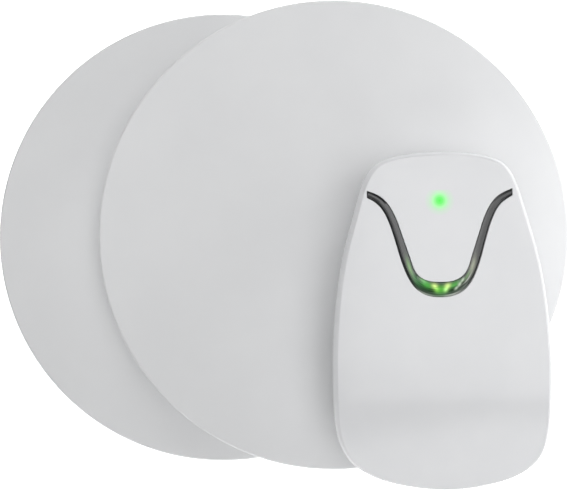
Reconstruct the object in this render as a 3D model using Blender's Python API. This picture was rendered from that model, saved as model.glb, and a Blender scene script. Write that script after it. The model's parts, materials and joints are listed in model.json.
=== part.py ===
"""Baby breathing-movement monitor: two round under-mattress sensor pads and a battery control unit.

The kit is a flat stack.  The rear pad lies on the surface, the front pad overlaps it, and the
control unit lies on the front pad.  Units are metres with +Z up, and the origin is the centre
of the rear pad's underside.
"""

import math

import bmesh
import bpy
import numpy as np
from mathutils import Vector

GAP = 0.0003  # clearance between pieces that touch
OVERSHOOT = 0.001  # how far a cutter reaches past the surface it cuts
BOSS_SEGMENTS = 8  # sides of bosses, screws and screw holes

# Sensor pads
PAD_RADIUS = 0.1031
PAD_HEIGHT = 0.0155
PAD_SEAM = 0.0066  # height of the joint between base and cover
PAD_WALL = 0.0022
PAD_EDGE = 0.0012  # rounding of the top edge
PAD_DRAFT = 0.0008  # how far the side leans in from the seam to the top
PAD_CORNER = 0.0020  # chamfer inside the cover and the base
PAD_FOOT = (0.0018, 0.0014)  # chamfer round the underside: inward and upward
PAD_SEGMENTS = 48
PAD_TOP_INSIDE = PAD_HEIGHT - PAD_WALL
PAD_RIM_INSIDE = PAD_RADIUS - PAD_WALL
FRONT_PAD_PLACE = (0.0495, 0.0009, PAD_HEIGHT + GAP)

# Pad screws and their bosses
PAD_SCREW_CIRCLE = 0.082
PAD_BOSS_LOW = 0.0040  # radius of the base's bosses
PAD_BOSS_HIGH = 0.0034  # radius of the cover's bosses
PAD_COUNTERBORE = (0.0027, 0.0027)  # radius and depth, open below
PAD_SCREW_HEAD = (0.0023, 0.0017)  # radius and length
PAD_SCREW_SHANK = (0.0011, 0.0092)
PAD_SCREW_SEAT = PAD_COUNTERBORE[1] - GAP
PAD_CLEARANCE_HOLE = 0.0016  # radius through the base
PAD_PILOT_HOLE = 0.0014  # radius in the cover
PAD_PILOT_TOP = 0.0128

# Cord gland in the pad's rim: (radius, distance from the pad's axis)
PAD_GLAND_ANGLE = math.radians(-60)
GLAND_HOLE = 0.0034
GLAND_PROFILE = [
    (0.0018, PAD_RIM_INSIDE - 0.0045),
    (0.0040, PAD_RIM_INSIDE - 0.0045),
    (0.0040, PAD_RIM_INSIDE - 0.0026),
    (0.0031, PAD_RIM_INSIDE - 0.0026),
    (0.0031, PAD_RADIUS + 0.0006),
    (0.0026, PAD_RADIUS + 0.0032),
    (0.0018, PAD_RADIUS + 0.0032),
]

# Sensing parts inside each pad
PIEZO_RING = (0.0215, 0.0240)  # inner and outer radius of the ring that carries the disc
PIEZO_DISC = (0.0250, 0.0005)  # radius and thickness
PIEZO_CERAMIC = (0.0150, 0.0004)
PUCK_RADIUS = (0.0055, 0.0070)  # at the foot and above the taper
PUCK_TAPER = 0.0015
SENSOR_BOARD_X = (-0.012, 0.012)
SENSOR_BOARD_Y = (-0.056, -0.040)
SENSOR_BOARD_THICKNESS = 0.0014

# Control unit, in its own frame: X across, Y towards the crown, Z from back to face
UNIT_PLACE = (0.0903, -0.0349, 2 * (PAD_HEIGHT + GAP))
UNIT_TURN = math.radians(1.0)
UNIT_THICKNESS = 0.030
WALL = 0.0022
EDGE_RADIUS = 0.0036  # the band round the face is an arc of this radius
EDGE_SWEEP = math.radians(62)  # that starts upright and meets the face at a clear edge
EDGE_SLIM = (-0.045, -0.062)  # between these Y the band slims down towards the foot
EDGE_FOOT = 0.45  # to this share of its size
BACK_RADIUS = 0.0025  # rounding round the back
INSIDE_BEVEL = 0.001  # bevel where the covers' side walls meet the face and the back
DRAFT = math.tan(math.radians(4.5))  # the side walls lean in towards the back
SPLIT = 0.013  # height of the joint between the front and rear covers
FACE_BEND = -0.014  # the face curves gently down below this Y
FACE_CREASE = -0.0317  # and more steeply below this crease
BEND_SLOPE = 0.08  # slope just above the crease
CREASE_SLOPE = 0.13  # slope just below it
FOOT_SLOPE = 0.21  # slope at the foot
FOOT_LEAN = 0.0028  # how far the foot's middle leans to the right
LEAN_START = -0.030
UNIT_CROWN = 0.0684
UNIT_FOOT = -0.0674

# Right half of the unit's outline, from the crown to the foot
UNIT_KNOTS = [
    (0.0, UNIT_CROWN),
    (0.0120, 0.0677),
    (0.0205, 0.0660),
    (0.0263, 0.0627),
    (0.0302, 0.0566),
    (0.0336, 0.0460),
    (0.0382, 0.0295),
    (0.0417, 0.0090),
    (0.0433, -0.0140),
    (0.0432, FACE_CREASE),
    (0.0419, -0.0455),
    (0.0378, -0.0547),
    (0.0298, -0.0610),
    (0.0168, -0.0654),
    (0.0, UNIT_FOOT),
]

# Right half of the U-shaped light guide's outer and inner edges, from the tip to the middle
GUIDE_OUTER_KNOTS = [
    (0.02855, 0.0504),
    (0.02435, 0.0476),
    (0.02035, 0.0410),
    (0.01675, 0.0295),
    (0.01375, 0.0205),
    (0.0094, 0.0139),
    (0.0046, 0.0114),
    (0.0, 0.0109),
]
GUIDE_INNER_KNOTS = [
    (0.02805, 0.0529),
    (0.02305, 0.0505),
    (0.01855, 0.0448),
    (0.01475, 0.0346),
    (0.01175, 0.0255),
    (0.0092, 0.0199),
    (0.0060, 0.0177),
    (0.0, 0.01685),
]
GUIDE_SHIFT = -0.0003  # the guide and the key sit this far left of the middle
GUIDE_DEPTH = 0.0035
GUIDE_FOOT_X = (-0.0045, 0.0045)  # the block under the guide that takes in the LEDs' light
GUIDE_FOOT_Y = (0.0124, 0.0163)
GUIDE_FOOT_Z = (0.0240, 0.0275)
KEY_TOP = 0.0529  # the power key's straight upper edge
KEY_HINGE = (KEY_TOP + GAP / 2, UNIT_THICKNESS - WALL / 2)  # Y and Z of the hinge line
KEY_PRESS_Y = 0.0247  # where a finger presses it
KEY_PLUNGER = (0.0018, 0.0005)  # radius, and how far it stands below the key

# Batteries, four AA cells side by side
CELL_RADIUS = 0.0071
CELL_BODY = 0.0492
CELL_NUB = 0.0013
CELL_NUB_RADIUS = 0.0027
CELL_SHOULDER = (0.0006, 0.0005)  # chamfer of both ends: inward and along
CELL_PITCH = 0.0149
CELL_HEIGHT = 0.0097
BAY_MIDDLE = -0.01715
BAY_HALF = (0.0304, 0.03075)
BAY_CEILING = 0.0173
BAY_WALL = 0.0016
PLATE_FACE = 0.02985  # from the middle of the bay to a contact plate
PLATE_THICKNESS = 0.0006
PLATE_HALF = 0.0052
SPRING_RADII = (0.0042, 0.0028)  # at the plate and at the cell
SPRING_WIRE = 0.00035
SPRING_TURNS = 3
LEAD_RADIUS = 0.0006
LEAD_HOLE_HALF = 0.0012
LEAD_HOLE_Z = (0.0120, 0.0144)

# Battery door, a T-section panel that slides in grooves in the back
DOOR_TOP = 0.0170
DOOR_HALF = (0.0320, 0.0333)
DOOR_LEVELS = (0.0012, 0.0022)
DOOR_LEDGE_X = 0.0358  # half width of the ledge that holds the grooves
DOOR_LEDGE_REACH = 0.003  # how far the ledge runs past the door's end
DOOR_LEDGE_ROOF = 0.0015  # plastic over the grooves
DOOR_GRIPS = [-0.030, -0.033, -0.036, -0.039]  # Y of the finger grooves
DOOR_GRIP_SIZE = (0.009, 0.0012, 0.0005)  # half length, width and depth

# Main board and what stands on it
BOARD_LOW = 0.0194
BOARD_HIGH = 0.0208
ON_BOARD = BOARD_HIGH + GAP
UNDER_BOARD = BOARD_LOW - GAP
BOARD_HALF_WIDTH = 0.025
BOARD_CORNER = 0.003
BOARD_ENDS = (-0.058, 0.052)
BOARD_SCREWS = [(-0.018, 0.034), (0.018, 0.034), (0.0, -0.0525)]
BOARD_SCREW_HEAD = (0.0021, 0.0013)
BOARD_SCREW_SHANK = (0.0010, 0.0070)
BOARD_SCREW_HOLE = 0.0014
PILLAR_RADIUS = 0.0026
CHIP_X = (0.006, 0.015)
CHIP_Y = (-0.010, -0.001)
CHIP_HEIGHT = 0.0016
SOCKET_X = 0.014
SOCKET_HALF = (0.0065, 0.0049)  # half width of the body and of the mouth
SOCKET_ENDS = (-0.0600, -0.0499)
SOCKET_MOUTH = (0.0095, 0.0161)  # lowest and highest Z of the mouth
SOCKET_FLOOR = 0.0018  # plastic under the mouth, and behind it
SOCKET_MARGIN = 0.0005  # the cover's window is this much larger than the mouth
STATUS_LED_Y = 0.0488
LED_FLANGE = (0.0029, 0.0010)  # radius and height
LED_LENS = (0.0025, 0.0035)  # radius, and height of the straight part
GLOW_LED_Y = 0.0145
GLOW_LED_X = 0.0026
GLOW_LED_HALF = (0.0016, 0.0014)
GLOW_LED_HEIGHT = 0.0020
SHROUD_OUTER = ((-0.0066, 0.0066), (0.0103, 0.0183))
SHROUD_INNER = ((-0.0054, 0.0054), (0.0115, 0.0171))
SHROUD_TOP = 0.0258
SWITCH_HALF = 0.0030
SWITCH_HEIGHT = 0.0034
STEM_RADIUS = 0.0016
STEM_BORE = (0.0019, 0.0019)  # radius, and height of its floor above the board
STEM_FLOOR = 0.0026  # where the stem starts above the board
BUZZER_Y = 0.028
BUZZER_RADIUS = (0.0106, 0.0112)  # of the chamfered underside and of the body
BUZZER_LOW = 0.0088
BUZZER_PORT = (0.0015, 0.0115)  # radius, and height of its end
SOUND_HOLE = 0.0010
SOUND_CIRCLE = 0.0050

# Screws through the back, and the keyhole for hanging
CASE_SCREWS = [(-0.022, 0.056), (0.022, 0.056), (-0.0288, -0.0535), (0.0288, -0.0535)]
CASE_BOSS = 0.0035
BOSS_START = 0.0017  # bosses rise from inside the back wall
CASE_SCREW_HEAD = (0.0025, 0.0018)
CASE_SCREW_RADIUS = 0.0012
CASE_SCREW_TIP = 0.0182
CASE_COUNTERBORE = (0.0029, 0.0035, 0.0065)  # radius, and depth at the crown and at the foot
CASE_CLEARANCE_HOLE = 0.0018
CASE_PILOT_HOLE = 0.0015
CASE_PILOT_TOP = 0.0215
KEYHOLE_Y = 0.0460
KEYHOLE_RADIUS = 0.0043
KEYHOLE_SLOT = (0.0023, 0.0545)  # half width and upper end
KEYHOLE_POCKET_X = 0.0065  # half width of the closed box behind the keyhole
KEYHOLE_POCKET_Y = (0.0402, 0.0580)
KEYHOLE_POCKET_TOP = 0.0085
KEYHOLE_POCKET_WALL = 0.0013
BRACE_HALF = 0.0015
BRACE_LOW = 0.0035
RIB_HALF = 0.0011

FINISHES = {
    # name: (colour, roughness, metallic)
    "gloss_white": ((0.83, 0.84, 0.86), 0.22, 0.0),
    "pad_white": ((0.80, 0.80, 0.81), 0.42, 0.0),
    "smoked_clear": ((0.045, 0.050, 0.048), 0.08, 0.0),
    "green_lens": ((0.25, 0.95, 0.30), 0.15, 0.0),
    "board_green": ((0.02, 0.16, 0.07), 0.45, 0.0),
    "black_plastic": ((0.03, 0.03, 0.03), 0.40, 0.0),
    "ceramic": ((0.72, 0.70, 0.66), 0.35, 0.0),
    "brass": ((0.78, 0.57, 0.22), 0.28, 1.0),
    "nickel": ((0.68, 0.67, 0.64), 0.25, 1.0),
    "steel": ((0.56, 0.57, 0.58), 0.32, 1.0),
    "cell_wrap": ((0.10, 0.22, 0.34), 0.30, 0.0),
    "soft_rubber": ((0.42, 0.43, 0.44), 0.70, 0.0),
    "red_wire": ((0.62, 0.05, 0.04), 0.40, 0.0),
    "black_wire": ((0.04, 0.04, 0.04), 0.40, 0.0),
}


# Curves and outlines


def smooth_curve(knots, steps, closed=False):
    """Points of the cubic spline through the knots, with the given number of steps between two."""
    knots = np.array(knots + knots[:1] if closed else knots)
    spans = np.linalg.norm(np.diff(knots, axis=0), axis=1)
    slopes = np.diff(knots, axis=0) / spans[:, None]
    matrix = np.eye(len(knots))
    right = np.zeros_like(knots)
    for i in range(1, len(spans)):
        matrix[i, i - 1 : i + 2] = spans[i - 1], 2 * (spans[i - 1] + spans[i]), spans[i]
        right[i] = 6 * (slopes[i] - slopes[i - 1])
    if closed:
        matrix[0, -1] = -1
        matrix[-1, :2] = 2 * spans[0], spans[0]
        matrix[-1, -2:] = spans[-1], 2 * spans[-1]
        right[-1] = 6 * (slopes[0] - slopes[-1])
    bend = np.linalg.solve(matrix, right)
    points = []
    for i, span in enumerate(spans):
        for t in np.arange(steps) / steps:
            s = 1 - t
            curved = (s**3 - s) * bend[i] + (t**3 - t) * bend[i + 1]
            points.append(s * knots[i] + t * knots[i + 1] + curved * span**2 / 6)
    if not closed:
        points.append(knots[-1])
    return [tuple(float(value) for value in point) for point in points]


def mirrored(half):
    """The whole of a line whose right half is given, ending on the axis: right end to left end."""
    return half + [(-x, y) for x, y in reversed(half[:-1])]


def moved_sideways(points, distance, closed=False):
    """The line moved to its left, as seen along it, by a distance that may depend on Y."""
    moved = []
    last = len(points) - 1
    for i, (x, y) in enumerate(points):
        before = points[i - 1] if closed or i > 0 else points[0]
        after = points[(i + 1) % len(points)] if closed or i < last else points[last]
        along = Vector((after[0] - before[0], after[1] - before[1])).normalized()
        step = distance(y) if callable(distance) else distance
        moved.append((x - along.y * step, y + along.x * step))
    return moved


def circle(radius, count, centre=(0.0, 0.0)):
    angles = [2 * math.pi * i / count for i in range(count)]
    return [(centre[0] + radius * math.cos(a), centre[1] + radius * math.sin(a)) for a in angles]


def rectangle(x_range, y_range):
    (x0, x1), (y0, y1) = x_range, y_range
    return [(x0, y0), (x1, y0), (x1, y1), (x0, y1)]


def rounded_rectangle(x_range, y_range, radius, steps=4):
    corners = [(1, 1, 0), (0, 1, 90), (0, 0, 180), (1, 0, 270)]
    points = []
    for right, upper, start in corners:
        middle_x = x_range[right] + (-radius if right else radius)
        middle_y = y_range[upper] + (-radius if upper else radius)
        for i in range(steps + 1):
            angle = math.radians(start + 90 * i / steps)
            points.append((middle_x + radius * math.cos(angle), middle_y + radius * math.sin(angle)))
    return points


def leaning(points):
    """The outline with its foot leaning to the right."""
    reach = LEAN_START - UNIT_FOOT
    return [(x + FOOT_LEAN * max(0.0, (LEAN_START - y) / reach) ** 2, y) for x, y in points]


UNIT_OUTLINE = leaning(
    smooth_curve(UNIT_KNOTS[:-1] + [(-x, y) for x, y in reversed(UNIT_KNOTS[1:])], steps=2, closed=True)
)
GUIDE_OUTER = [(x + GUIDE_SHIFT, y) for x, y in smooth_curve(mirrored(GUIDE_OUTER_KNOTS), steps=2)]
GUIDE_INNER = [(x + GUIDE_SHIFT, y) for x, y in smooth_curve(mirrored(GUIDE_INNER_KNOTS), steps=2)]


# Meshes


def lofted(rings, caps="flat"):
    """A closed mesh through rings of equal length.

    caps is 'flat' for one face at each end, 'rows' for faces across from the right side of a
    mirrored ring to its left, and 'none' to join the last ring to the first.
    """
    form = bmesh.new()
    loops = [[form.verts.new(point) for point in ring] for ring in rings]
    pairs = list(zip(loops, loops[1:]))
    if caps == "none":
        pairs.append((loops[-1], loops[0]))
    for lower, upper in pairs:
        for i in range(len(lower)):
            j = (i + 1) % len(lower)
            form.faces.new((lower[i], lower[j], upper[j], upper[i]))
    if caps == "flat":
        form.faces.new(reversed(loops[0]))
        form.faces.new(loops[-1])
    if caps == "rows":
        for loop in (loops[0], loops[-1]):
            add_rows(form, loop)
    bmesh.ops.recalc_face_normals(form, faces=form.faces)
    return finished(form)


def add_rows(form, loop):
    """Closes a mirrored loop, which starts on the axis, with faces from side to side."""
    count = len(loop)
    for i in range(count // 2):
        corners = [loop[i], loop[i + 1], loop[count - i - 1], loop[-i]]
        form.faces.new(list(dict.fromkeys(corners)))


def finished(form):
    mesh = bpy.data.meshes.new("shape")
    form.to_mesh(mesh)
    form.free()
    mesh.shade_smooth()
    mesh.set_sharp_from_angle(angle=math.radians(35))
    return mesh


def prism(outline, low, high):
    """An outline in X and Y, from one height to another."""
    return lofted([[(x, y, z) for x, y in outline] for z in (low, high)])


def box(x_range, y_range, z_range):
    return prism(rectangle(x_range, y_range), *z_range)


def turned(profile, segments, caps="flat"):
    """A profile of (radius, height) points, turned about Z."""
    return lofted([[(x, y, z) for x, y in circle(r, segments)] for r, z in profile], caps)


def tube(path, radius, sides):
    """A round rod along a path, with flat ends."""
    path = [Vector(point) for point in path]
    across = Vector((0.3, 0.2, 1.0))
    rings = []
    for i, point in enumerate(path):
        along = (path[min(i + 1, len(path) - 1)] - path[max(i - 1, 0)]).normalized()
        across = (across - along * across.dot(along)).normalized()
        other = along.cross(across)
        rings.append([point + across * x + other * y for x, y in circle(radius, sides)])
    return lofted(rings)


# Objects


def clear_scene():
    for item in list(bpy.data.objects):
        bpy.data.objects.remove(item, do_unlink=True)


def make_finishes():
    made = {}
    for name, (colour, roughness, metallic) in FINISHES.items():
        finish = bpy.data.materials.new(name)
        finish.use_nodes = True
        shader = finish.node_tree.nodes["Principled BSDF"]
        shader.inputs["Base Color"].default_value = (*colour, 1.0)
        shader.inputs["Roughness"].default_value = roughness
        shader.inputs["Metallic"].default_value = metallic
        finish.diffuse_color = (*colour, 1.0)
        made[name] = finish
    return made


def frame_empty(name, location, parent=None, turn=0.0):
    empty = bpy.data.objects.new(name, None)
    bpy.context.collection.objects.link(empty)
    empty.parent = parent
    empty.location = location
    empty.rotation_euler.z = turn
    return empty


def add_part(name, mesh, finish, parent, location=(0, 0, 0), rotation=(0, 0, 0)):
    part = bpy.data.objects.new(name, mesh)
    bpy.context.collection.objects.link(part)
    mesh.materials.append(finish)
    part.parent = parent
    part.location = location
    part.rotation_euler = rotation
    return part


def combine(part, mesh, operation, location=(0, 0, 0), rotation=(0, 0, 0)):
    """Cuts a helper shape from a part, joins it on, or keeps only what they share."""
    helper = add_part(f"{part.name}_{operation.lower()}", mesh, None, part.parent, location, rotation)
    helper.hide_render = True
    helper.display_type = "WIRE"
    modifier = part.modifiers.new(helper.name, "BOOLEAN")
    modifier.object = helper
    modifier.operation = operation
    modifier.solver = "EXACT"


def cut(part, mesh, location=(0, 0, 0), rotation=(0, 0, 0)):
    combine(part, mesh, "DIFFERENCE", location, rotation)


def join(part, mesh, location=(0, 0, 0), rotation=(0, 0, 0)):
    combine(part, mesh, "UNION", location, rotation)


def add_screw(name, finish, parent, place, head, shank, point_up):
    """A pan-head screw.  head and shank are (radius, length), and place is where they meet."""
    head_radius, head_height = head
    shank_radius, shank_length = shank
    recess_radius, recess_depth = head_radius * 0.35, head_height * 0.55
    profile = [
        (recess_radius, recess_depth - head_height),
        (recess_radius * 1.4, -head_height),
        (head_radius * 0.9, -head_height),
        (head_radius, 0.0),
        (shank_radius, 0.0),
        (shank_radius, shank_length - shank_radius),
        (shank_radius * 0.3, shank_length),
    ]
    rotation = (0, 0, 0) if point_up else (math.pi, 0, 0)
    return add_part(name, turned(profile, BOSS_SEGMENTS), finish, parent, place, rotation)


def rod(radius, low, high, segments=BOSS_SEGMENTS):
    """An upright cylinder from one height to another."""
    return turned([(radius, low), (radius, high)], segments)


# Sensor pad


def pad_cover_mesh():
    upper_side = PAD_RADIUS - PAD_DRAFT
    profile = [
        (PIEZO_RING[0], PAD_TOP_INSIDE),
        (PAD_RIM_INSIDE - PAD_CORNER, PAD_TOP_INSIDE),
        (PAD_RIM_INSIDE - PAD_CORNER * 0.3, PAD_TOP_INSIDE - PAD_CORNER * 0.7),
        (PAD_RIM_INSIDE, PAD_SEAM + GAP),
        (PAD_RADIUS, PAD_SEAM + GAP),
    ]
    for angle in (0, 45, 90):
        inward, down = rounding(PAD_EDGE, math.radians(angle))
        profile.append((upper_side - inward, PAD_HEIGHT - down))
    return turned(profile, PAD_SEGMENTS)


def pad_base_mesh():
    ring_inner, ring_outer = PIEZO_RING
    ring_top = PAD_SEAM - GAP
    foot_inward, foot_up = PAD_FOOT
    profile = [
        (ring_inner, PAD_WALL),
        (ring_inner, ring_top),
        (ring_outer, ring_top),
        (ring_outer, PAD_WALL),
        (PAD_RIM_INSIDE - PAD_CORNER, PAD_WALL),
        (PAD_RIM_INSIDE, PAD_WALL + PAD_CORNER),
        (PAD_RIM_INSIDE, PAD_SEAM),
        (PAD_RADIUS, PAD_SEAM),
        (PAD_RADIUS - foot_inward / 3, foot_up),
        (PAD_RADIUS - foot_inward, 0.0),
    ]
    return turned(profile, PAD_SEGMENTS)


def add_pad_screws(prefix, parent, finishes, base, cover):
    bore_radius, bore_depth = PAD_COUNTERBORE
    hole_top = PAD_SEAM + OVERSHOOT
    for i, (x, y) in enumerate(circle(PAD_SCREW_CIRCLE, 4)):
        join(base, rod(PAD_BOSS_LOW, OVERSHOOT, PAD_SEAM - GAP), (x, y, 0))
        cut(base, rod(bore_radius, -OVERSHOOT, bore_depth), (x, y, 0))
        cut(base, rod(PAD_CLEARANCE_HOLE, bore_depth - OVERSHOOT / 2, hole_top), (x, y, 0))
        join(cover, rod(PAD_BOSS_HIGH, PAD_SEAM + GAP, PAD_TOP_INSIDE + OVERSHOOT), (x, y, 0))
        cut(cover, rod(PAD_PILOT_HOLE, PAD_SEAM - OVERSHOOT, PAD_PILOT_TOP), (x, y, 0))
        place = (x, y, PAD_SCREW_SEAT)
        name = f"{prefix}_screw_{i + 1}"
        add_screw(name, finishes["steel"], parent, place, PAD_SCREW_HEAD, PAD_SCREW_SHANK, point_up=True)


def add_cord_gland(prefix, parent, finishes, shells):
    place = (0, 0, PAD_SEAM)
    sideways = (0, math.pi / 2, PAD_GLAND_ANGLE)
    for shell in shells:
        hole = rod(GLAND_HOLE, PAD_RIM_INSIDE - 3 * OVERSHOOT, PAD_RADIUS + 3 * OVERSHOOT, 12)
        cut(shell, hole, place, sideways)
    gland = turned(GLAND_PROFILE, 12, "none")
    add_part(f"{prefix}_cord_gland", gland, finishes["soft_rubber"], parent, place, sideways)


def add_sensor(prefix, parent, finishes):
    """The piezo disc on its ring, the ceramic on it, and the puck that presses on both."""
    disc_radius, disc_thickness = PIEZO_DISC
    disc = rod(disc_radius, PAD_SEAM, PAD_SEAM + disc_thickness, 32)
    add_part(f"{prefix}_piezo_disc", disc, finishes["brass"], parent)
    low = PAD_SEAM + disc_thickness + GAP
    ceramic_radius, ceramic_thickness = PIEZO_CERAMIC
    ceramic = rod(ceramic_radius, low, low + ceramic_thickness, 24)
    add_part(f"{prefix}_piezo_ceramic", ceramic, finishes["ceramic"], parent)
    low += ceramic_thickness + GAP
    foot, top = PUCK_RADIUS
    puck = turned([(foot, low), (top, low + PUCK_TAPER), (top, PAD_TOP_INSIDE - GAP)], 16)
    add_part(f"{prefix}_pressure_puck", puck, finishes["soft_rubber"], parent)
    low = PAD_WALL + GAP
    board = box(SENSOR_BOARD_X, SENSOR_BOARD_Y, (low, low + SENSOR_BOARD_THICKNESS))
    add_part(f"{prefix}_sensor_board", board, finishes["board_green"], parent)


def add_pad(prefix, parent, finishes):
    cover = add_part(f"{prefix}_cover", pad_cover_mesh(), finishes["pad_white"], parent)
    base = add_part(f"{prefix}_base", pad_base_mesh(), finishes["pad_white"], parent)
    add_pad_screws(prefix, parent, finishes, base, cover)
    add_cord_gland(prefix, parent, finishes, (base, cover))
    add_sensor(prefix, parent, finishes)


# Control unit: surfaces


def face_height(y):
    """Height of the face at Y: level, then a gentle bend, then a crease and a steeper foot."""
    bend = min(max(0.0, FACE_BEND - y), FACE_BEND - FACE_CREASE)
    drop = BEND_SLOPE * bend**2 / (2 * (FACE_BEND - FACE_CREASE))
    below = max(0.0, FACE_CREASE - y)
    steepening = (FOOT_SLOPE - CREASE_SLOPE) / (2 * (FACE_CREASE - UNIT_FOOT))
    return UNIT_THICKNESS - drop - CREASE_SLOPE * below - steepening * below**2


def edge_size(y):
    """Size of the band round the face at Y, as a share of its full size."""
    start, end = EDGE_SLIM
    done = min(max(0.0, (start - y) / (start - end)), 1.0)
    return 1.0 - (1.0 - EDGE_FOOT) * done


def edge_depth(y):
    """How far below the face the band ends."""
    return edge_size(y) * EDGE_RADIUS * math.sin(EDGE_SWEEP)


def body_ring(inset, height):
    """One loop round the unit, moved in by inset(y) and lying at height(y)."""
    loop = moved_sideways(UNIT_OUTLINE, lambda y: -inset(y), closed=True)
    return [(x, y, height(outline_y)) for (x, y), (_, outline_y) in zip(loop, UNIT_OUTLINE)]


def level(height):
    return lambda y: height


def below_face(depth):
    return lambda y: face_height(y) - depth


def drafted(height, extra=0.0):
    """How far the drafted side wall lies inside the widest outline at a height."""
    return lambda y: extra + DRAFT * max(0.0, face_height(y) - edge_depth(y) - height)


def edge_ring(angle):
    """One loop of the band round the face, at an angle up from its lower edge."""
    inward = EDGE_RADIUS * (1 - math.cos(angle))
    down = EDGE_RADIUS * (math.sin(EDGE_SWEEP) - math.sin(angle))
    return body_ring(lambda y: edge_size(y) * inward, lambda y: face_height(y) - edge_size(y) * down)


def rounding(radius, angle):
    """How far in and how far back a quarter round has gone at an angle."""
    return radius * (1 - math.cos(angle)), radius * (1 - math.sin(angle))


def front_cover_mesh():
    low = SPLIT + GAP
    rings = [
        body_ring(level(WALL + INSIDE_BEVEL), below_face(WALL)),
        body_ring(level(WALL), below_face(WALL + INSIDE_BEVEL)),
        body_ring(drafted(low, WALL), level(low)),
        body_ring(drafted(low), level(low)),
    ]
    rings += [edge_ring(EDGE_SWEEP * share) for share in (0, 1 / 3, 2 / 3, 1)]
    return lofted(rings, "rows")


def back_outside_rings(top):
    rings = [body_ring(drafted(top), level(top))]
    for angle in (0, 30, 60, 90):
        inward, down = rounding(BACK_RADIUS, math.radians(angle))
        rings.append(body_ring(drafted(down, inward), level(down)))
    return rings


def rear_cover_mesh():
    rings = [
        body_ring(drafted(WALL, WALL + INSIDE_BEVEL), level(WALL)),
        body_ring(drafted(WALL + INSIDE_BEVEL, WALL), level(WALL + INSIDE_BEVEL)),
        body_ring(drafted(SPLIT, WALL), level(SPLIT)),
    ]
    return lofted(rings + back_outside_rings(SPLIT))


# Control unit: covers, key and light guide


def socket_window():
    """The notch in the end wall that a socket's mouth looks out of."""
    half = SOCKET_HALF[1] + SOCKET_MARGIN
    low, high = SOCKET_MOUTH
    ends = (UNIT_FOOT - 10 * OVERSHOOT, SOCKET_ENDS[0] + 0.0002)
    return box((-half, half), ends, (low - SOCKET_MARGIN, high + SOCKET_MARGIN))


def add_front_cover(parent, finishes):
    cover = add_part("front_cover", front_cover_mesh(), finishes["gloss_white"], parent)
    for x, y in CASE_SCREWS:
        top = face_height(y) - WALL + OVERSHOOT
        join(cover, rod(CASE_BOSS, SPLIT + GAP, top, 12), (x, y, 0))
        cut(cover, rod(CASE_PILOT_HOLE, SPLIT - OVERSHOOT, CASE_PILOT_TOP), (x, y, 0))
    right, left = GUIDE_INNER[0][0] + GAP, GUIDE_INNER[-1][0] - GAP
    opening = GUIDE_OUTER + [(left, KEY_TOP + GAP), (right, KEY_TOP + GAP)]
    cut(cover, prism(opening, UNIT_THICKNESS - 2 * GUIDE_DEPTH, UNIT_THICKNESS + OVERSHOOT))
    for side in (-1, 1):
        cut(cover, socket_window(), (side * SOCKET_X, 0, 0))


def add_light_guide(parent, finishes):
    outer = moved_sideways(GUIDE_OUTER, -GAP)
    outline = outer + list(reversed(GUIDE_INNER))
    strip = prism(outline, UNIT_THICKNESS - GUIDE_DEPTH, UNIT_THICKNESS)
    guide = add_part("light_guide", strip, finishes["smoked_clear"], parent)
    join(guide, box(GUIDE_FOOT_X, GUIDE_FOOT_Y, GUIDE_FOOT_Z))


def add_power_key(parent, finishes):
    hinge_y, hinge_z = KEY_HINGE
    pivot = frame_empty("power_key_pivot", (0, hinge_y, hinge_z), parent)
    outline = [(x, y - hinge_y) for x, y in moved_sideways(GUIDE_INNER, -GAP)]
    underside = UNIT_THICKNESS - WALL - hinge_z
    plate = prism(outline, underside, UNIT_THICKNESS - hinge_z)
    key = add_part("power_key", plate, finishes["gloss_white"], pivot)
    radius, length = KEY_PLUNGER
    plunger = rod(radius, underside - length, underside + OVERSHOOT, 16)
    join(key, plunger, (0, KEY_PRESS_Y - hinge_y, 0))


def keyhole(depth):
    """A keyhole: a round entry that a screw head passes, and a narrow way up for its shank."""
    half, end = KEYHOLE_SLOT
    entry = circle(KEYHOLE_RADIUS, 20, (0, KEYHOLE_Y))
    right = [(x, y) for x, y in entry[:10] if x > half]
    left = [(x, y) for x, y in entry[:10] if x < -half]
    outline = right + [(half, end), (-half, end)] + left + entry[10:]
    return prism(outline, -OVERSHOOT, depth)


def add_bay(cover):
    """The battery bay's walls, the ledge with the door's grooves, and the room inside them."""
    half_x, half_y = BAY_HALF
    bay_y = (BAY_MIDDLE - half_y, BAY_MIDDLE + half_y)
    walls_y = (bay_y[0] - BAY_WALL, bay_y[1] + BAY_WALL)
    groove = (DOOR_LEVELS[0] - GAP, DOOR_LEVELS[1] + GAP)
    ledge_y = (walls_y[0], DOOR_TOP + DOOR_LEDGE_REACH)
    ledge_z = (OVERSHOOT, groove[1] + DOOR_LEDGE_ROOF)
    join(cover, box((-DOOR_LEDGE_X, DOOR_LEDGE_X), ledge_y, ledge_z))
    outside_x = half_x + BAY_WALL
    join(cover, box((-outside_x, outside_x), walls_y, (1.5 * OVERSHOOT, BAY_CEILING + BAY_WALL)))
    add_pillars(cover, walls_y[0])
    wide = DOOR_HALF[1] + GAP
    narrow = DOOR_HALF[0] + GAP
    door_y = (UNIT_FOOT - 10 * OVERSHOOT, DOOR_TOP + GAP)
    cut(cover, box((-wide, wide), door_y, groove))
    cut(cover, box((-narrow, narrow), door_y, (-2 * OVERSHOOT, groove[0] + GAP)))
    cut(cover, box((-half_x, half_x), bay_y, (OVERSHOOT / 2, BAY_CEILING)))
    for side in (-1, 1):
        hole_y = (bay_y[1] - OVERSHOOT, walls_y[1] + OVERSHOOT)
        lead_hole = box((-LEAD_HOLE_HALF, LEAD_HOLE_HALF), hole_y, LEAD_HOLE_Z)
        cut(cover, lead_hole, (side * 1.5 * CELL_PITCH, 0, 0))


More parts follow.
